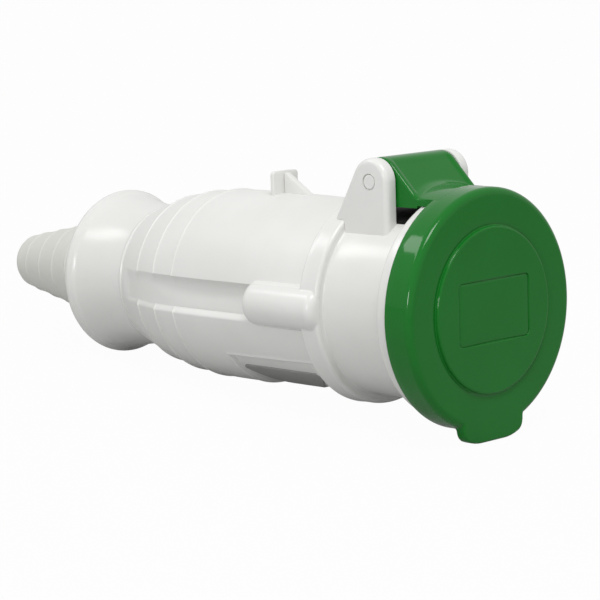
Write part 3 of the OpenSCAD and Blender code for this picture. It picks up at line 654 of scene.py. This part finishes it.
def label_skin():
    """A rounded rectangle, 42 degrees to each side and 40.5 long, wrapped on the handle's seat.

    The rows go out over the top, down the softened rim and in again over the back.
    """
    top_r, back_r, middle_y = 35.3, 34.72, 78.25
    a = np.linspace(0, 2 * np.pi, 240, endpoint=False)
    discs = corners(42 * D * top_r, 20.25, 2.2)
    walls = [(0.35, top_r), (0.12, 35.24), (0.0, 35.08), (0.0, back_r)]
    rim = np.stack([hull_walk(discs, inset, a) for inset, _ in walls])
    top = np.stack([rim[0] * k for k in np.linspace(0, 1, 14)[:-1]])
    back = np.stack([rim[-1] * k for k in np.linspace(1, 0, 14)[1:]])
    flat = np.vstack([top, rim, back])
    radius = np.array([top_r] * len(top) + [q for _, q in walls] + [back_r] * len(back))[:, None]
    bend = flat[..., 0] / top_r
    grid = np.stack([radius * np.sin(bend), middle_y + flat[..., 1], -radius * np.cos(bend)], -1)
    return skin(grid, ring_rows=False)


dress(mesh_piece("label_plate_bare", label_skin()), "plate_grey", "housing", "label_plate")

# %% [markdown]
# ## Nut and boot
# Both are turned: an outline is carried round the axis. The nut's bell opens like a parabola from
# its waist, where a fine bead marks the joint, to a rim with a generous round-over.

# %% Gland nut
def turned(outline, sides=192):
    """A closed outline of (radius, distance) points carried round the axis."""
    r, y = np.vstack(outline).T[:, :, None]
    a = np.linspace(0, 2 * np.pi, sides, endpoint=False)[None]
    return skin(np.stack([r * np.cos(a), y + 0 * a, r * np.sin(a)], -1))


depth = spread(0.6, 26.6, 60, (24.6, 1.0, 5), (1.3, 0.8, 8))
bead = 0.32 * np.exp(-((depth - 1.3) / np.where(depth < 1.3, 0.35, 0.7)) ** 2)
bell_r = 27.3 + 4.55 * (depth / 27.3) ** 2 + 0.5 * ramp(depth, 23.6, 25.6) + bead
nut = turned([
    [(23.6, TAIL), (26.7, TAIL)], arc(26.7, TAIL + 0.6, 0.6, -90, 0, 5),       # front face
    np.stack([bell_r, TAIL + depth], -1), arc(29.4, 187.8, 3.0, -6, 90, 18),   # bell and its rim
    [(22.6, 190.8)], arc(22.6, 189.8, 1.0, 90, 180, 6)[1:] - [0.2, 0],         # rear face
    [(21.4, 184), (25.1, 184), (25.1, 176.5), (23.6, 176.5)]], 224)            # inside
dress(mesh_piece("gland_nut_bell", nut), "shell_gloss", "housing", "gland_nut")

# %% [markdown]
# The boot keeps the cable from being bent sharply where it leaves the nut. It is a hollow cone with
# rings that let it flex. Each ring shows as one fine line of light, so a bead is all it needs.

# %% Cable boot
BOOT_START, BOOT_END = 190.8, 248.4
BOOT_RINGS = 238.5 - 10.7 * np.arange(4, -1, -1)


def boot_line(y):
    """A cone from 21.3 to 10.1, with a fine rounded bead at each ring."""
    cone = 21.3 - 11.2 * (y - BOOT_START) / 57.6
    return cone + sum(0.30 * np.exp(-((y - a) / 0.5) ** 2) for a in BOOT_RINGS)


y = spread(BOOT_START, 245.6, 170, *[(a, 0.8, 8) for a in BOOT_RINGS])
boot = turned([
    [(8.1, 180), (25.0, 180), (25.0, 184), (21.3, 184)], np.stack([boot_line(y), y], -1),
    arc(7.4, 245.6, 2.8, 10, 90, 12),
    [(8.3, BOOT_END), (7.7, 247.8), (7.7, 234.4), (15.3, BOOT_START), (15.3, 185)]], 176)
dress(mesh_piece("cable_boot_soft", boot), "boot_grey", "housing", "cable_boot")

# %% [markdown]
# ## Front housing
# The housing is a tube with a guard flange close behind the lid's skirt. Its mouth has one groove
# at the bottom for the plug's key, so the inside radius depends on the direction as well: the
# outside's rows are plain circles, and the inside's rows follow the keyed outline.

# %% Housing tube
BORE = 31.8                             # radius of the mouth
KEY_FLOOR, KEY_HALF = 33.5, 3.2         # how deep and half how wide the key's groove is

outer = np.vstack([
    arc(35.4, 1.2, 1.2, -90, 0, 8), [(36.6, 7.4)],                             # the mouth's collar
    arc(37.4, 7.4, 0.8, 180, 90, 6)[1:], arc(39.4, 9.0, 0.8, -90, 0, 6),       # guard flange, front
    arc(38.6, 13.0, 1.6, 0, 84, 9), arc(36.5, 16.4, 1.8, -100, -180, 9),       # and its back
    [(34.7, 30)], arc(35.4, 44.2, 0.7, 180, 90, 6),                            # cylinder
    [(36.45, 44.93), (35.85, 45.7), (35.85, 49), (31, 49), (31, 63)],          # step under the collar
    [(29.3, 63), (29.3, 65.6), (31, 65.6), (31, 69), (30, 70)],                # spigot, seal's groove
    [(27.8, 70), (27.8, 51), (26.1, 51), (26.1, 48)]])                         # and the room inside
inner_y, keyed, flare = np.array([
    (48, 0, 0), (43.02, 0, 0), (42.98, 1, 0), (22, 1, 0), (0.6, 1, 0),
    (0.2, 1, 0.15), (0.0, 1, 0.6)]).T
around = spread(-270 * D, 90 * D, 321, (-95.8 * D, 0.5 * D, 9), (-84.2 * D, 0.5 * D, 9))[:-1]
lean = np.abs(around + 90 * D)                             # angle away from straight down
in_key = KEY_FLOOR * np.tan(np.clip(lean, 0, 1)) < KEY_HALF
key = np.where(in_key, KEY_FLOOR / np.cos(lean), BORE)
bore = BORE + keyed[:, None] * (key - BORE) + flare[:, None]
rows_r = np.vstack([np.repeat(outer[:, :1], len(around), 1), bore])
rows_y = np.concatenate([outer[:, 1], inner_y])[:, None] + 0 * around
tube = skin(np.stack([rows_r * np.cos(around), rows_y, rows_r * np.sin(around)], -1))
pillars = [rod_skin((s * BOSS, 46.7, 0), (s * BOSS, 60, 0), 2.65) for s in (-1, 1)]
dress(mesh_piece("housing_tube", tube, *pillars), "shell_gloss", "housing", "front_housing")

# %% [markdown]
# Two hinge ears stand on the housing. Each ear is a hull of four discs, walked round as the label
# was, with a broad rounded rim on its outer face. It is cut away where the handle's collar passes,
# where the housing's own tube begins, and round the pin.

# %% Hinge ears
KNUCKLE = 8.295                         # radius of the round ends about the pin
PIN_BORE = 2.66                         # radius of the pin's holes


def ear_skin(side):
    """Hull of four discs in (y, z), 5.1 thick, with a 2 mm round-over outside and 0.4 inside."""
    discs = [(*PIN, KNUCKLE), (27.3, 22, 3), (48.4, 22, 3), (48.4, 28, 3)]
    near, thick, rim = 17.3, 5.1, 2
    a = spread(-np.pi, np.pi, 241)[:-1]
    q = np.radians(np.linspace(0, 90, 9))
    rims = [(0.4, 0.0), (0.12, 0.12), (0, 0.4)]
    rims += [(rim - rim * np.cos(k), thick - rim + rim * np.sin(k)) for k in q]
    walk = np.stack([hull_walk(discs, inset, a) for inset, _ in rims])
    middle = 0 * walk[:1] + np.array([36.0, 34.0])
    walk = np.concatenate([middle, walk, middle])
    x = side * (near + np.array([0.0] + [t for _, t in rims] + [thick]))[:, None] + 0 * a
    return skin(np.stack([x, walk[..., 0], walk[..., 1]], -1), ring_rows=False)


collar_room = [[(33.0, 44.75)], arc(36.85, 46.25, 1.5, -90, 0, 8), [(38.35, 90), (33.0, 90)]]
for side, hand in ((-1, "left"), (1, "right")):
    ear = mesh_piece(f"hinge_ear_{hand}", ear_skin(side))
    cut_away(ear, mesh_piece("collar_room", turned(collar_room)),
             mesh_piece("sleeve_room", rod_skin((0, 0, 0), (0, 90, 0), BOSS, 120)),
             mesh_piece("pin_room", rod_skin((16 * side, *PIN), (24 * side, *PIN), PIN_BORE)),
             mesh_piece("pin_rim", rod_skin((21.7 * side, *PIN), (24 * side, *PIN), 2.95)))
    dress(ear, "shell_gloss", "housing", "front_housing")

# %% [markdown]
# ## The lid
# The lid's face is again one function of direction, because every outline on it can be seen from its
# middle: the sunk panel (a rounded rectangle), the raised disc (a circle) and the rim, which is the
# round lid and its finger tab joined by a rounded maximum. A hull is walked by the direction its
# edge faces, so its distance in a given direction from the middle is read off that walk.

# %% Lid outlines seen from the middle
LID_R = 43.0


def reach_of(discs, a):
    """Distance from the middle to the hull of discs in each direction, read off a fine walk."""
    edge = hull_walk(discs, 0, np.linspace(-np.pi, np.pi, 4001))
    walked = np.concatenate([[0], np.cumsum(np.hypot(*np.diff(edge, axis=0).T))])
    even = np.linspace(0, walked[-1], 40001)
    u, v = (np.interp(even, walked, edge[:, k]) for k in (0, 1))
    bearing = np.arctan2(v, u)
    order = np.argsort(bearing)
    return np.interp(a, bearing[order], np.hypot(u, v)[order], period=2 * np.pi)


panel_corners = [s * t for s in (30.8, 149.2) for t in (-1, 1)]
face_a = spread(-np.pi, np.pi, 561, *[(p * D, 4 * D, 7) for p in panel_corners],
                (-110 * D, 2.5 * D, 6), (-70 * D, 2.5 * D, 6), (-90 * D, 22 * D, 1.5))[:-1]
panel_r = reach_of(corners(18.8, 11.2, 1.8), face_a)
tab_end = [(s * (6 + 16 * math.sin(b)), -46.59 + 19.5 - 16 * math.cos(b), 3.5)
           for s in (-1, 1) for b in np.radians([0, 5.5, 11.1, 16.6, 22.2])]
tab_discs = tab_end + [(s * 13.2, -36.6, 3.5) for s in (-1, 1)] + [(0, 0, 3)]
tab_r = np.where(np.abs(face_a + 90 * D) < 60 * D, reach_of(tab_discs, face_a), 0)
rim_r = soft_max(np.full_like(face_a, LID_R), tab_r, 1.6)
on_tab = np.clip((rim_r - LID_R) / 1.5, 0, 1)              # 0 on the round lid, 1 on the tab
print("tab reaches", round(float(rim_r.max()), 2), "mm from the middle")

# %% [markdown]
# Now the rows run outwards from the middle: panel floor, panel wall, disc, disc edge, face,
# round-over, tab's back, skirt and inside. The panel's wall and the disc's edge each have a fine
# groove beside them, which catches the dark line that frames them on a real moulding.

# %% The lid's cap, tab and skirt
DISC, FACE, TAB_BACK, SKIRT_END = -5.2, -4.0, 0.2, 7.7     # distances along the axis
PANEL_WALL = [(-0.62, -4.93), (-0.45, -4.78), (-0.3, -4.72), (-0.12, -4.74), (-0.04, -4.85),
              (0.0, -5.08), (0.05, -5.16), (0.15, DISC)]   # (outwards of the panel's edge, distance)
DISC_EDGE = [(28.9, DISC), (29.2, -5.15), (29.42, -5.0), (29.55, -4.75), (29.62, -4.2),
             (29.7, -3.95),
             (29.9, -3.84), (30.15, -3.86), (30.4, -3.96), (30.65, FACE)]
INSIDE = [(41.1, SKIRT_END), (40.8, 7.4), (40.8, 0.0), (40.4, -1.2), (39.3, -1.6), (0, -1.6)]


def lid_rows():
    """(radius over direction, distance) of each row, from the middle of the face round to the inside."""
    one = np.ones_like(face_a)
    edge = 2.5 - 1.5 * on_tab                              # the rim's round-over, finer on the tab
    rows = [(k * (panel_r - 0.75), -4.95 * one) for k in np.linspace(0, 1, 8)]
    rows += [(panel_r + t, d * one) for t, d in PANEL_WALL]
    rows += [(panel_r + 0.18 + k * (28.45 - panel_r), DISC * one)
             for k in (0.04, 0.15, 0.4, 0.7, 1)]
    rows += [(t * one, d * one) for t, d in DISC_EDGE]
    rows += [(30.7 + k * (rim_r - edge - 30.7), FACE * one) for k in (0.3, 0.65, 0.9, 1)]
    rows += [(rim_r - edge * (1 - math.sin(b)), FACE + edge * (1 - math.cos(b)))
             for b in np.radians(np.linspace(8, 90, 13))]
    rows += [(rim_r, (TAB_BACK - 1.0) * one)]
    rows += [(rim_r - on_tab * (1 - math.cos(b)), (TAB_BACK - 1.0 + math.sin(b)) * one)
             for b in np.radians((20, 40, 60, 75, 90))]
    rows += [(LID_R + (rim_r - on_tab - LID_R) * k, (TAB_BACK + 0.02) * one) for k in (0.5, 0.1)]
    rows += [(LID_R * one, d * one) for d in (TAB_BACK + 0.3, 4.0, SKIRT_END - 0.5)]
    rows += [((LID_R - 0.5 + 0.5 * math.cos(b)) * one, (SKIRT_END - 0.5 + 0.5 * math.sin(b)) * one)
             for b in np.radians((30, 60, 90))]
    rows += [(t * one, d * one) for t, d in INSIDE]
    return np.stack([r for r, _ in rows]), np.stack([d for _, d in rows])


lid_r, lid_y = lid_rows()
cap = skin(np.stack([lid_r * np.cos(face_a), lid_y, lid_r * np.sin(face_a)], -1), ring_rows=False)
dress(mesh_piece("lid_cap", cap, sharp=40), "lid_green", "lid", "lid")

# %% [markdown]
# The arm carries the lid on the hinge pin. Seen from the side it runs back along the skirt, turns up
# through a concave round, climbs at 45 degrees and ends in a knuckle round the pin. The skirt's
# height depends on how far out we are, so the side view is worked out afresh for every x. The slope
# is hollowed between two ribs, and the whole outline draws in near the two sides to round them.

# %% Upper line of the arm
ARM_HALF, ARM_SOFT, FILLET = 16.8, 1.0, 4.5    # half width, side rounding and concave round
FOOT_END = 12.5                         # how far back the arm's foot lies on the skirt


def arm_top(x):
    """Side views over x, as rows of (y, z): skirt, 4.5 mm fillet, slope z = y + 24.24, knuckle."""
    top = np.sqrt(43.02 ** 2 - x ** 2)                     # the skirt's height at each x
    bend = top - (PIN[1] - PIN[0] + KNUCKLE * math.sqrt(2))    # where slope and skirt would meet
    t = FILLET * math.tan(math.radians(22.5))              # the fillet's tangent length
    q = np.radians(np.linspace(0, 45, 9))[:, None]
    skirt = np.stack([np.stack([d + 0 * x, top], -1) for d in (5.0, 7.0, 10.0, FOOT_END)])
    round_up = np.stack([bend - t + FILLET * np.sin(q), top + FILLET * (1 - np.cos(q))], -1)
    start = np.stack([bend + t * math.sqrt(0.5), top + t * math.sqrt(0.5)], -1)
    touch = np.array([PIN[0] - KNUCKLE * math.sqrt(0.5), PIN[1] + KNUCKLE * math.sqrt(0.5)])
    share = np.linspace(0, 1, 22)[1:, None, None]
    slope = start * (1 - share) + touch * share
    a = np.radians(np.linspace(135, -90, 46))[1:, None]
    knuckle = np.stack([PIN[0] + KNUCKLE * np.cos(a) + 0 * x,
                        PIN[1] + KNUCKLE * np.sin(a) + 0 * x], -1)
    return np.concatenate([skirt, round_up, slope, knuckle]), len(skirt) + len(round_up)


print("the arm's upper line has", len(arm_top(np.zeros(1))[0]), "points")

# %% [markdown]
# The upper line is then moved inwards along its own normal, by the hollow and by the round-over of
# the sides, and an underside closes the loop. The two end caps shrink onto the line halfway between.

# %% Lid arm
def arm_skin():
    """The loops of upper line and underside, carried across x and capped at both sides."""
    ends = ARM_SOFT * np.cos(np.radians([0, 15, 30, 50, 70]))
    flank = ARM_HALF - ARM_SOFT
    x = np.concatenate([-flank - ends, np.linspace(-flank, flank, 75), flank + ends[::-1]])
    upper, slope_row = arm_top(x)
    normal = np.gradient(upper, axis=0)
    normal = np.stack([-normal[..., 1], normal[..., 0]], -1)
    normal /= np.linalg.norm(normal, axis=-1, keepdims=True)
    row = np.arange(len(upper))[:, None]
    hollow = 0.50 * (1 - ramp(np.abs(x), 13.7, 15.0)) * ramp(row, slope_row - 5, slope_row + 1)
    hollow = hollow * (1 - ramp(row, slope_row + 20, slope_row + 25))
    draw_in = ARM_SOFT - round_over(np.abs(x) - flank, ARM_SOFT)
    upper = upper - normal * (draw_in * ramp(row, 2, 6) + hollow)[..., None]
    share = np.clip((np.arange(len(upper)) - 3) / (len(upper) - 4), 0, 1)[:, None]
    down = np.where(share == 0, np.minimum(upper[..., 0], FOOT_END),
                    FOOT_END + share * (PIN[0] - FOOT_END))
    in_skirt = np.sqrt(40.7 ** 2 - x ** 2)                 # sunk a little through the skirt's wall
    under = np.stack([down, np.where(down < 15.1, in_skirt, 36.2)], -1)
    loop = np.concatenate([upper, under[::-1]])
    cap = (upper[:, [0, -1]] + under[:, [0, -1]]) / 2
    cap = np.concatenate([cap, cap[::-1]])
    loop = np.concatenate([cap[:, :1], loop, cap[:, 1:]], axis=1)
    x = np.concatenate([x[:1], x, x[-1:]])
    grid = np.stack([x + 0 * loop[..., 0], loop[..., 0], loop[..., 1]], -1)
    return skin(grid.transpose(1, 0, 2), ring_rows=False)


arm = mesh_piece("lid_arm", arm_skin())
room = 6.75                             # half the width of the spring's room
under_room = [(20.8, 30), (60, 30), (60, 40.85), (20.8, 40.85)]
rear_room = [(PIN[0], 30), (60, 30), (60, 50.5), (PIN[0], 50.5)]
cut_away(arm, mesh_piece("spring_room", rod_skin((-room, *PIN), (room, *PIN), 6.6, 96)),
         mesh_piece("under_room", slab(under_room, -room, room, "x")),
         mesh_piece("rear_room", slab(rear_room, -room, room, "x")),
         mesh_piece("bore", rod_skin((-20, *PIN), (20, *PIN), PIN_BORE)))
dress(arm, "lid_green", "lid", "lid")

# %% [markdown]
# ## Gasket and pin
# A flat ring of rubber lies in the lid and seals the mouth. It is turned from a rectangle with round
# corners. The pin is a rod with softened ends, pressed in from one side across both ears.

# %% Gasket and hinge pin
gasket = turned([arc(34.9, -1.3, 0.3, -90, 0, 4), arc(34.7, -0.7, 0.5, 0, 90, 6),
                 arc(29.7, -0.7, 0.5, 90, 180, 6), arc(29.5, -1.3, 0.3, 180, 270, 4)], 160)
dress(mesh_piece("lid_gasket_ring", gasket), "seal_black", "lid", "lid_gasket")


def pin_skin():
    """A rod of radius 2.6, each end rounded over by 0.35 and very slightly dished."""
    end_r, end_x = [0, 1.9, 2.25, 2.5, 2.6], [22.25, 22.38, 22.4, 22.3, 22.05]
    r = np.array(end_r + [2.6] + end_r[::-1])[:, None]
    x = np.array([-d for d in end_x] + [0] + end_x[::-1])[:, None]
    a = np.linspace(0, 2 * np.pi, 96, endpoint=False)
    grid = np.stack([x + 0 * a, PIN[0] + r * np.cos(a), PIN[1] + r * np.sin(a)], -1)
    return skin(grid, ring_rows=False)


dress(mesh_piece("hinge_pin_rod", pin_skin()), "shell_gloss", "housing", "hinge_pin")

# %% [markdown]
# ## Spring
# The spring is a wire bent round the pin: its path is written as points and a small circle is
# carried along it. One leg pushes the lid, the other lies on the housing, so the wire has to twist
# when the lid swings.

# %% Hinge spring
def spring_skin(wire=0.7, coil=5.0, width=10.5, turns=6, sides=12):
    """A tube along a front leg, some turns round the pin, and a straight rear leg to the pad."""
    a = np.radians(np.linspace(270, 235 + 360 * turns, 40 * turns + 1))
    share = np.linspace(-0.5, 0.5, len(a))
    coil_path = np.stack([width * share, PIN[0] + coil * np.cos(a), PIN[1] + coil * np.sin(a)], -1)
    foot_r = 34.7 + 0.9 + wire + 0.05                      # housing, pad, wire and a hair's room
    last = coil_path[-1]
    foot_z = math.sqrt(foot_r ** 2 - last[0] ** 2)
    foot_y = last[1] + (last[2] - foot_z) / math.tan(math.radians(35))
    lead_y = np.linspace(21.4, PIN[0] - 0.6, 12)
    lead = np.stack([0 * lead_y - width / 2, lead_y, 0 * lead_y + PIN[1] - coil], -1)
    tail = last + np.linspace(0, 1, 7)[1:, None] * (np.array([last[0], foot_y, foot_z]) - last)
    path = np.vstack([lead, coil_path, tail])
    way = np.gradient(path, axis=0)
    way /= np.linalg.norm(way, axis=1, keepdims=True)
    side = np.cross(way, [1.0, 0, 0])
    side /= np.linalg.norm(side, axis=1, keepdims=True)
    up = np.cross(side, way)
    q = np.linspace(0, 2 * np.pi, sides, endpoint=False)[None, :, None]
    rings = path[:, None] + wire * (side[:, None] * np.cos(q) + up[:, None] * np.sin(q))
    rings = np.concatenate([0 * rings[:1] + path[0], rings, 0 * rings[-1:] + path[-1]])
    return skin(rings, ring_rows=False)


spring = mesh_piece("hinge_spring_wire", spring_skin())
spring.data.materials.append(screw_steel)
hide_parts("hinge_spring")
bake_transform(spring)

# %% [markdown]
# ## Parts that stay as they are
# The contacts, their carrier and the small inner parts already have their true shape. Their meshes
# arrive as loose triangles, which cannot be shaded smoothly. So each is copied, the copy's doubles
# are merged, and its round walls are smoothed.

# %% Smooth copies of the inner parts
KEPT = {
    "seal_black": ("hinge_pad", "body_seal", "cable_grommet"),
    "insulator": ("contact_carrier", "carrier_base", "contact_retainer", "clamp_cage"),
    "contact_metal": ("contact_earth", "contact_l1", "contact_l2", "contact_l3"),
    "screw_steel": ("carrier_screw_left", "carrier_screw_right",
                    "terminal_screw_earth", "terminal_screw_l1", "terminal_screw_l2",
                    "terminal_screw_l3", "assembly_screw_left", "assembly_screw_right"),
}


def smooth_copy(node):
    """A merged, smoothly shaded copy of a CAD node's mesh, as a new piece."""
    mesh = frame["nodes"][node].data.copy()
    mesh.name = node + "_smooth"
    merge_and_smooth(mesh, 2e-6, 30)
    return link_new(mesh.name, mesh)


for finish, nodes in KEPT.items():
    for node in nodes:
        dress(smooth_copy(node), finish, "housing", node)
print("smooth copies:", sum(len(n) for n in KEPT.values()))

# %% [markdown]
# The CAD nodes that a new piece stands for stay in the file for collision. They are hidden, but get
# the matching finish too, so that nothing is left with a plain colour.

# %% Finishes on the frame
for part in frame["record"]["subparts"]:
    node_mesh = frame["nodes"][part["node"]].data
    node_mesh.materials.clear()
    node_mesh.materials.append(FINISHES[part["material_slot"]])

# %% [markdown]
# ## Floor and background
# The product stands on white. The floor and the world look white to the camera only, so the
# background needs no extra light on the object, and the floor keeps a soft shadow. A little of that
# white is also let into the gloss, so that the plastic reflects the studio that it stands in.

# %% Floor and world
def stage_floor():
    """A flat grid of 9 by 9 points, 8 m wide, at the height on which the connector lies."""
    g = np.linspace(-4, 4, 9)
    x, y = np.meshgrid(g, g)
    points = np.stack([x, y, 0 * x + cad_box[0][2]], -1).reshape(-1, 3)
    quads = quads_of(np.arange(g.size ** 2).reshape(g.size, g.size))[:, ::-1]
    mesh = bpy.data.meshes.new("floor")
    mesh.from_pydata(points.tolist(), [], quads.tolist())
    return link_new("floor", mesh)


def white_to_camera(tree, shader, share, in_gloss=0.15):
    """Mixes white into a shader: a share for rays from the camera or glass, and less off gloss."""
    camera, gloss, glass = (add_node(tree, "ShaderNodeLightPath", {}, {}, f"Is {kind} Ray")
                            for kind in ("Camera", "Glossy", "Transmission"))
    white = add_node(tree, "ShaderNodeEmission", {}, {"Color": (1, 1, 1, 1)})
    factor = (camera.largest(glass) * share).largest(gloss * in_gloss)
    return add_node(tree, "ShaderNodeMixShader", {}, {0: factor, 1: Signal(tree, shader), 2: white})


f = Finish("floor_pale", Roughness=0.9)
f.surface(f.blend(f.noise(3, 2), (0.46, 0.46, 0.46, 1), (0.44, 0.44, 0.44, 1)))
mostly_white = white_to_camera(f.tree, f.shader.outputs[0], 0.97)
plug(f.tree, f.tree.nodes["Material Output"].inputs[0], mostly_white)
floor = stage_floor()
floor.data.materials.append(f.material)

world = bpy.data.worlds.new("studio")
bpy.context.scene.world = world
world.use_nodes = True
tree = world.node_tree
sky = tree.nodes["Background"]
sky.inputs["Color"].default_value = (1, 1, 1, 1)
sky.inputs["Strength"].default_value = 0.68
plug(tree, tree.nodes["World Output"].inputs[0], white_to_camera(tree, sky.outputs[0], 1.0))
print("floor at", round(cad_box[0][2] * 1000, 2), "mm")

# %% [markdown]
# ## Lamps
# An even sky gives most of the light. Soft panels add what shapes the object: one high in front,
# one low at the left for the sides, and a large one behind that only fills, so it is kept out of
# the gloss. The last is a strip behind and above. Only gloss sees it: it draws the soft streak on
# the nut's bell, and adds no light that would wash out the rest.

# %% Soft panels
def panel(name, place, aim, size, power, height=None):
    """An area lamp in metres and watts, turned to `aim`: square, or a strip if it has a height."""
    lamp = bpy.data.lights.new(name, "AREA")
    lamp.shape = "RECTANGLE"
    lamp.size, lamp.size_y, lamp.energy = size, height or size, power
    piece = link_new(name, lamp)
    way = Vector(aim) - Vector(place)
    turn = way.to_track_quat("-Z", "Y").to_matrix().to_4x4()
    piece.matrix_world = Matrix.Translation(place) @ turn
    return piece


panel("high_panel", (-0.35, -0.35, 1.1), (0, 0.09, 0), 0.42, 6.0)
panel("left_panel", (-1.06, -0.2, 0.26), (0, 0.07, 0), 0.22, 1.9)
panel("back_panel", (1.0, 1.2, 0.78), (0, 0.09, 0), 1.3, 2.0).visible_glossy = False
sheen = panel("sheen_strip", (-0.58, 0.89, 0.89), (0, 0.17, 0), 0.66, 1.8, height=0.22)
sheen.visible_diffuse = False           # only gloss sees it
print("lamps:", [lamp.name for lamp in bpy.data.lights])

# %% [markdown]
# ## Camera
# The camera stands where the photograph was taken: in front and to the left of the lid, a little
# above it, nearly a metre away, with a long lens and a slight roll. Its place was found by fitting
# the turned outlines of the model to the photograph.

# %% Camera
eye = Vector((-0.669299, -0.568445, 0.176829))
forward = Vector((0.698831, 0.687856, -0.196187)).normalized()
roll = math.radians(1.3584)
level = forward.cross(Vector((0, 0, 1))).normalized()
right = level * math.cos(roll) + level.cross(forward) * math.sin(roll)
upward = right.cross(forward)
lens = bpy.data.cameras.new("photo_camera")
lens.lens, lens.sensor_width = 152.933, 36.0
lens.clip_start, lens.clip_end = 0.05, 50
camera = link_new("photo_camera", lens)
turn = Matrix((right, upward, -forward)).transposed().to_4x4()
camera.matrix_world = Matrix.Translation(eye) @ turn
bpy.context.scene.camera = camera
bpy.context.scene.view_settings.view_transform = "Standard"
print("camera right axis:", np.round(right, 4))

# %% [markdown]
# ## Bringing the scene up to date

# %% Sizes
bpy.context.view_layer.update()
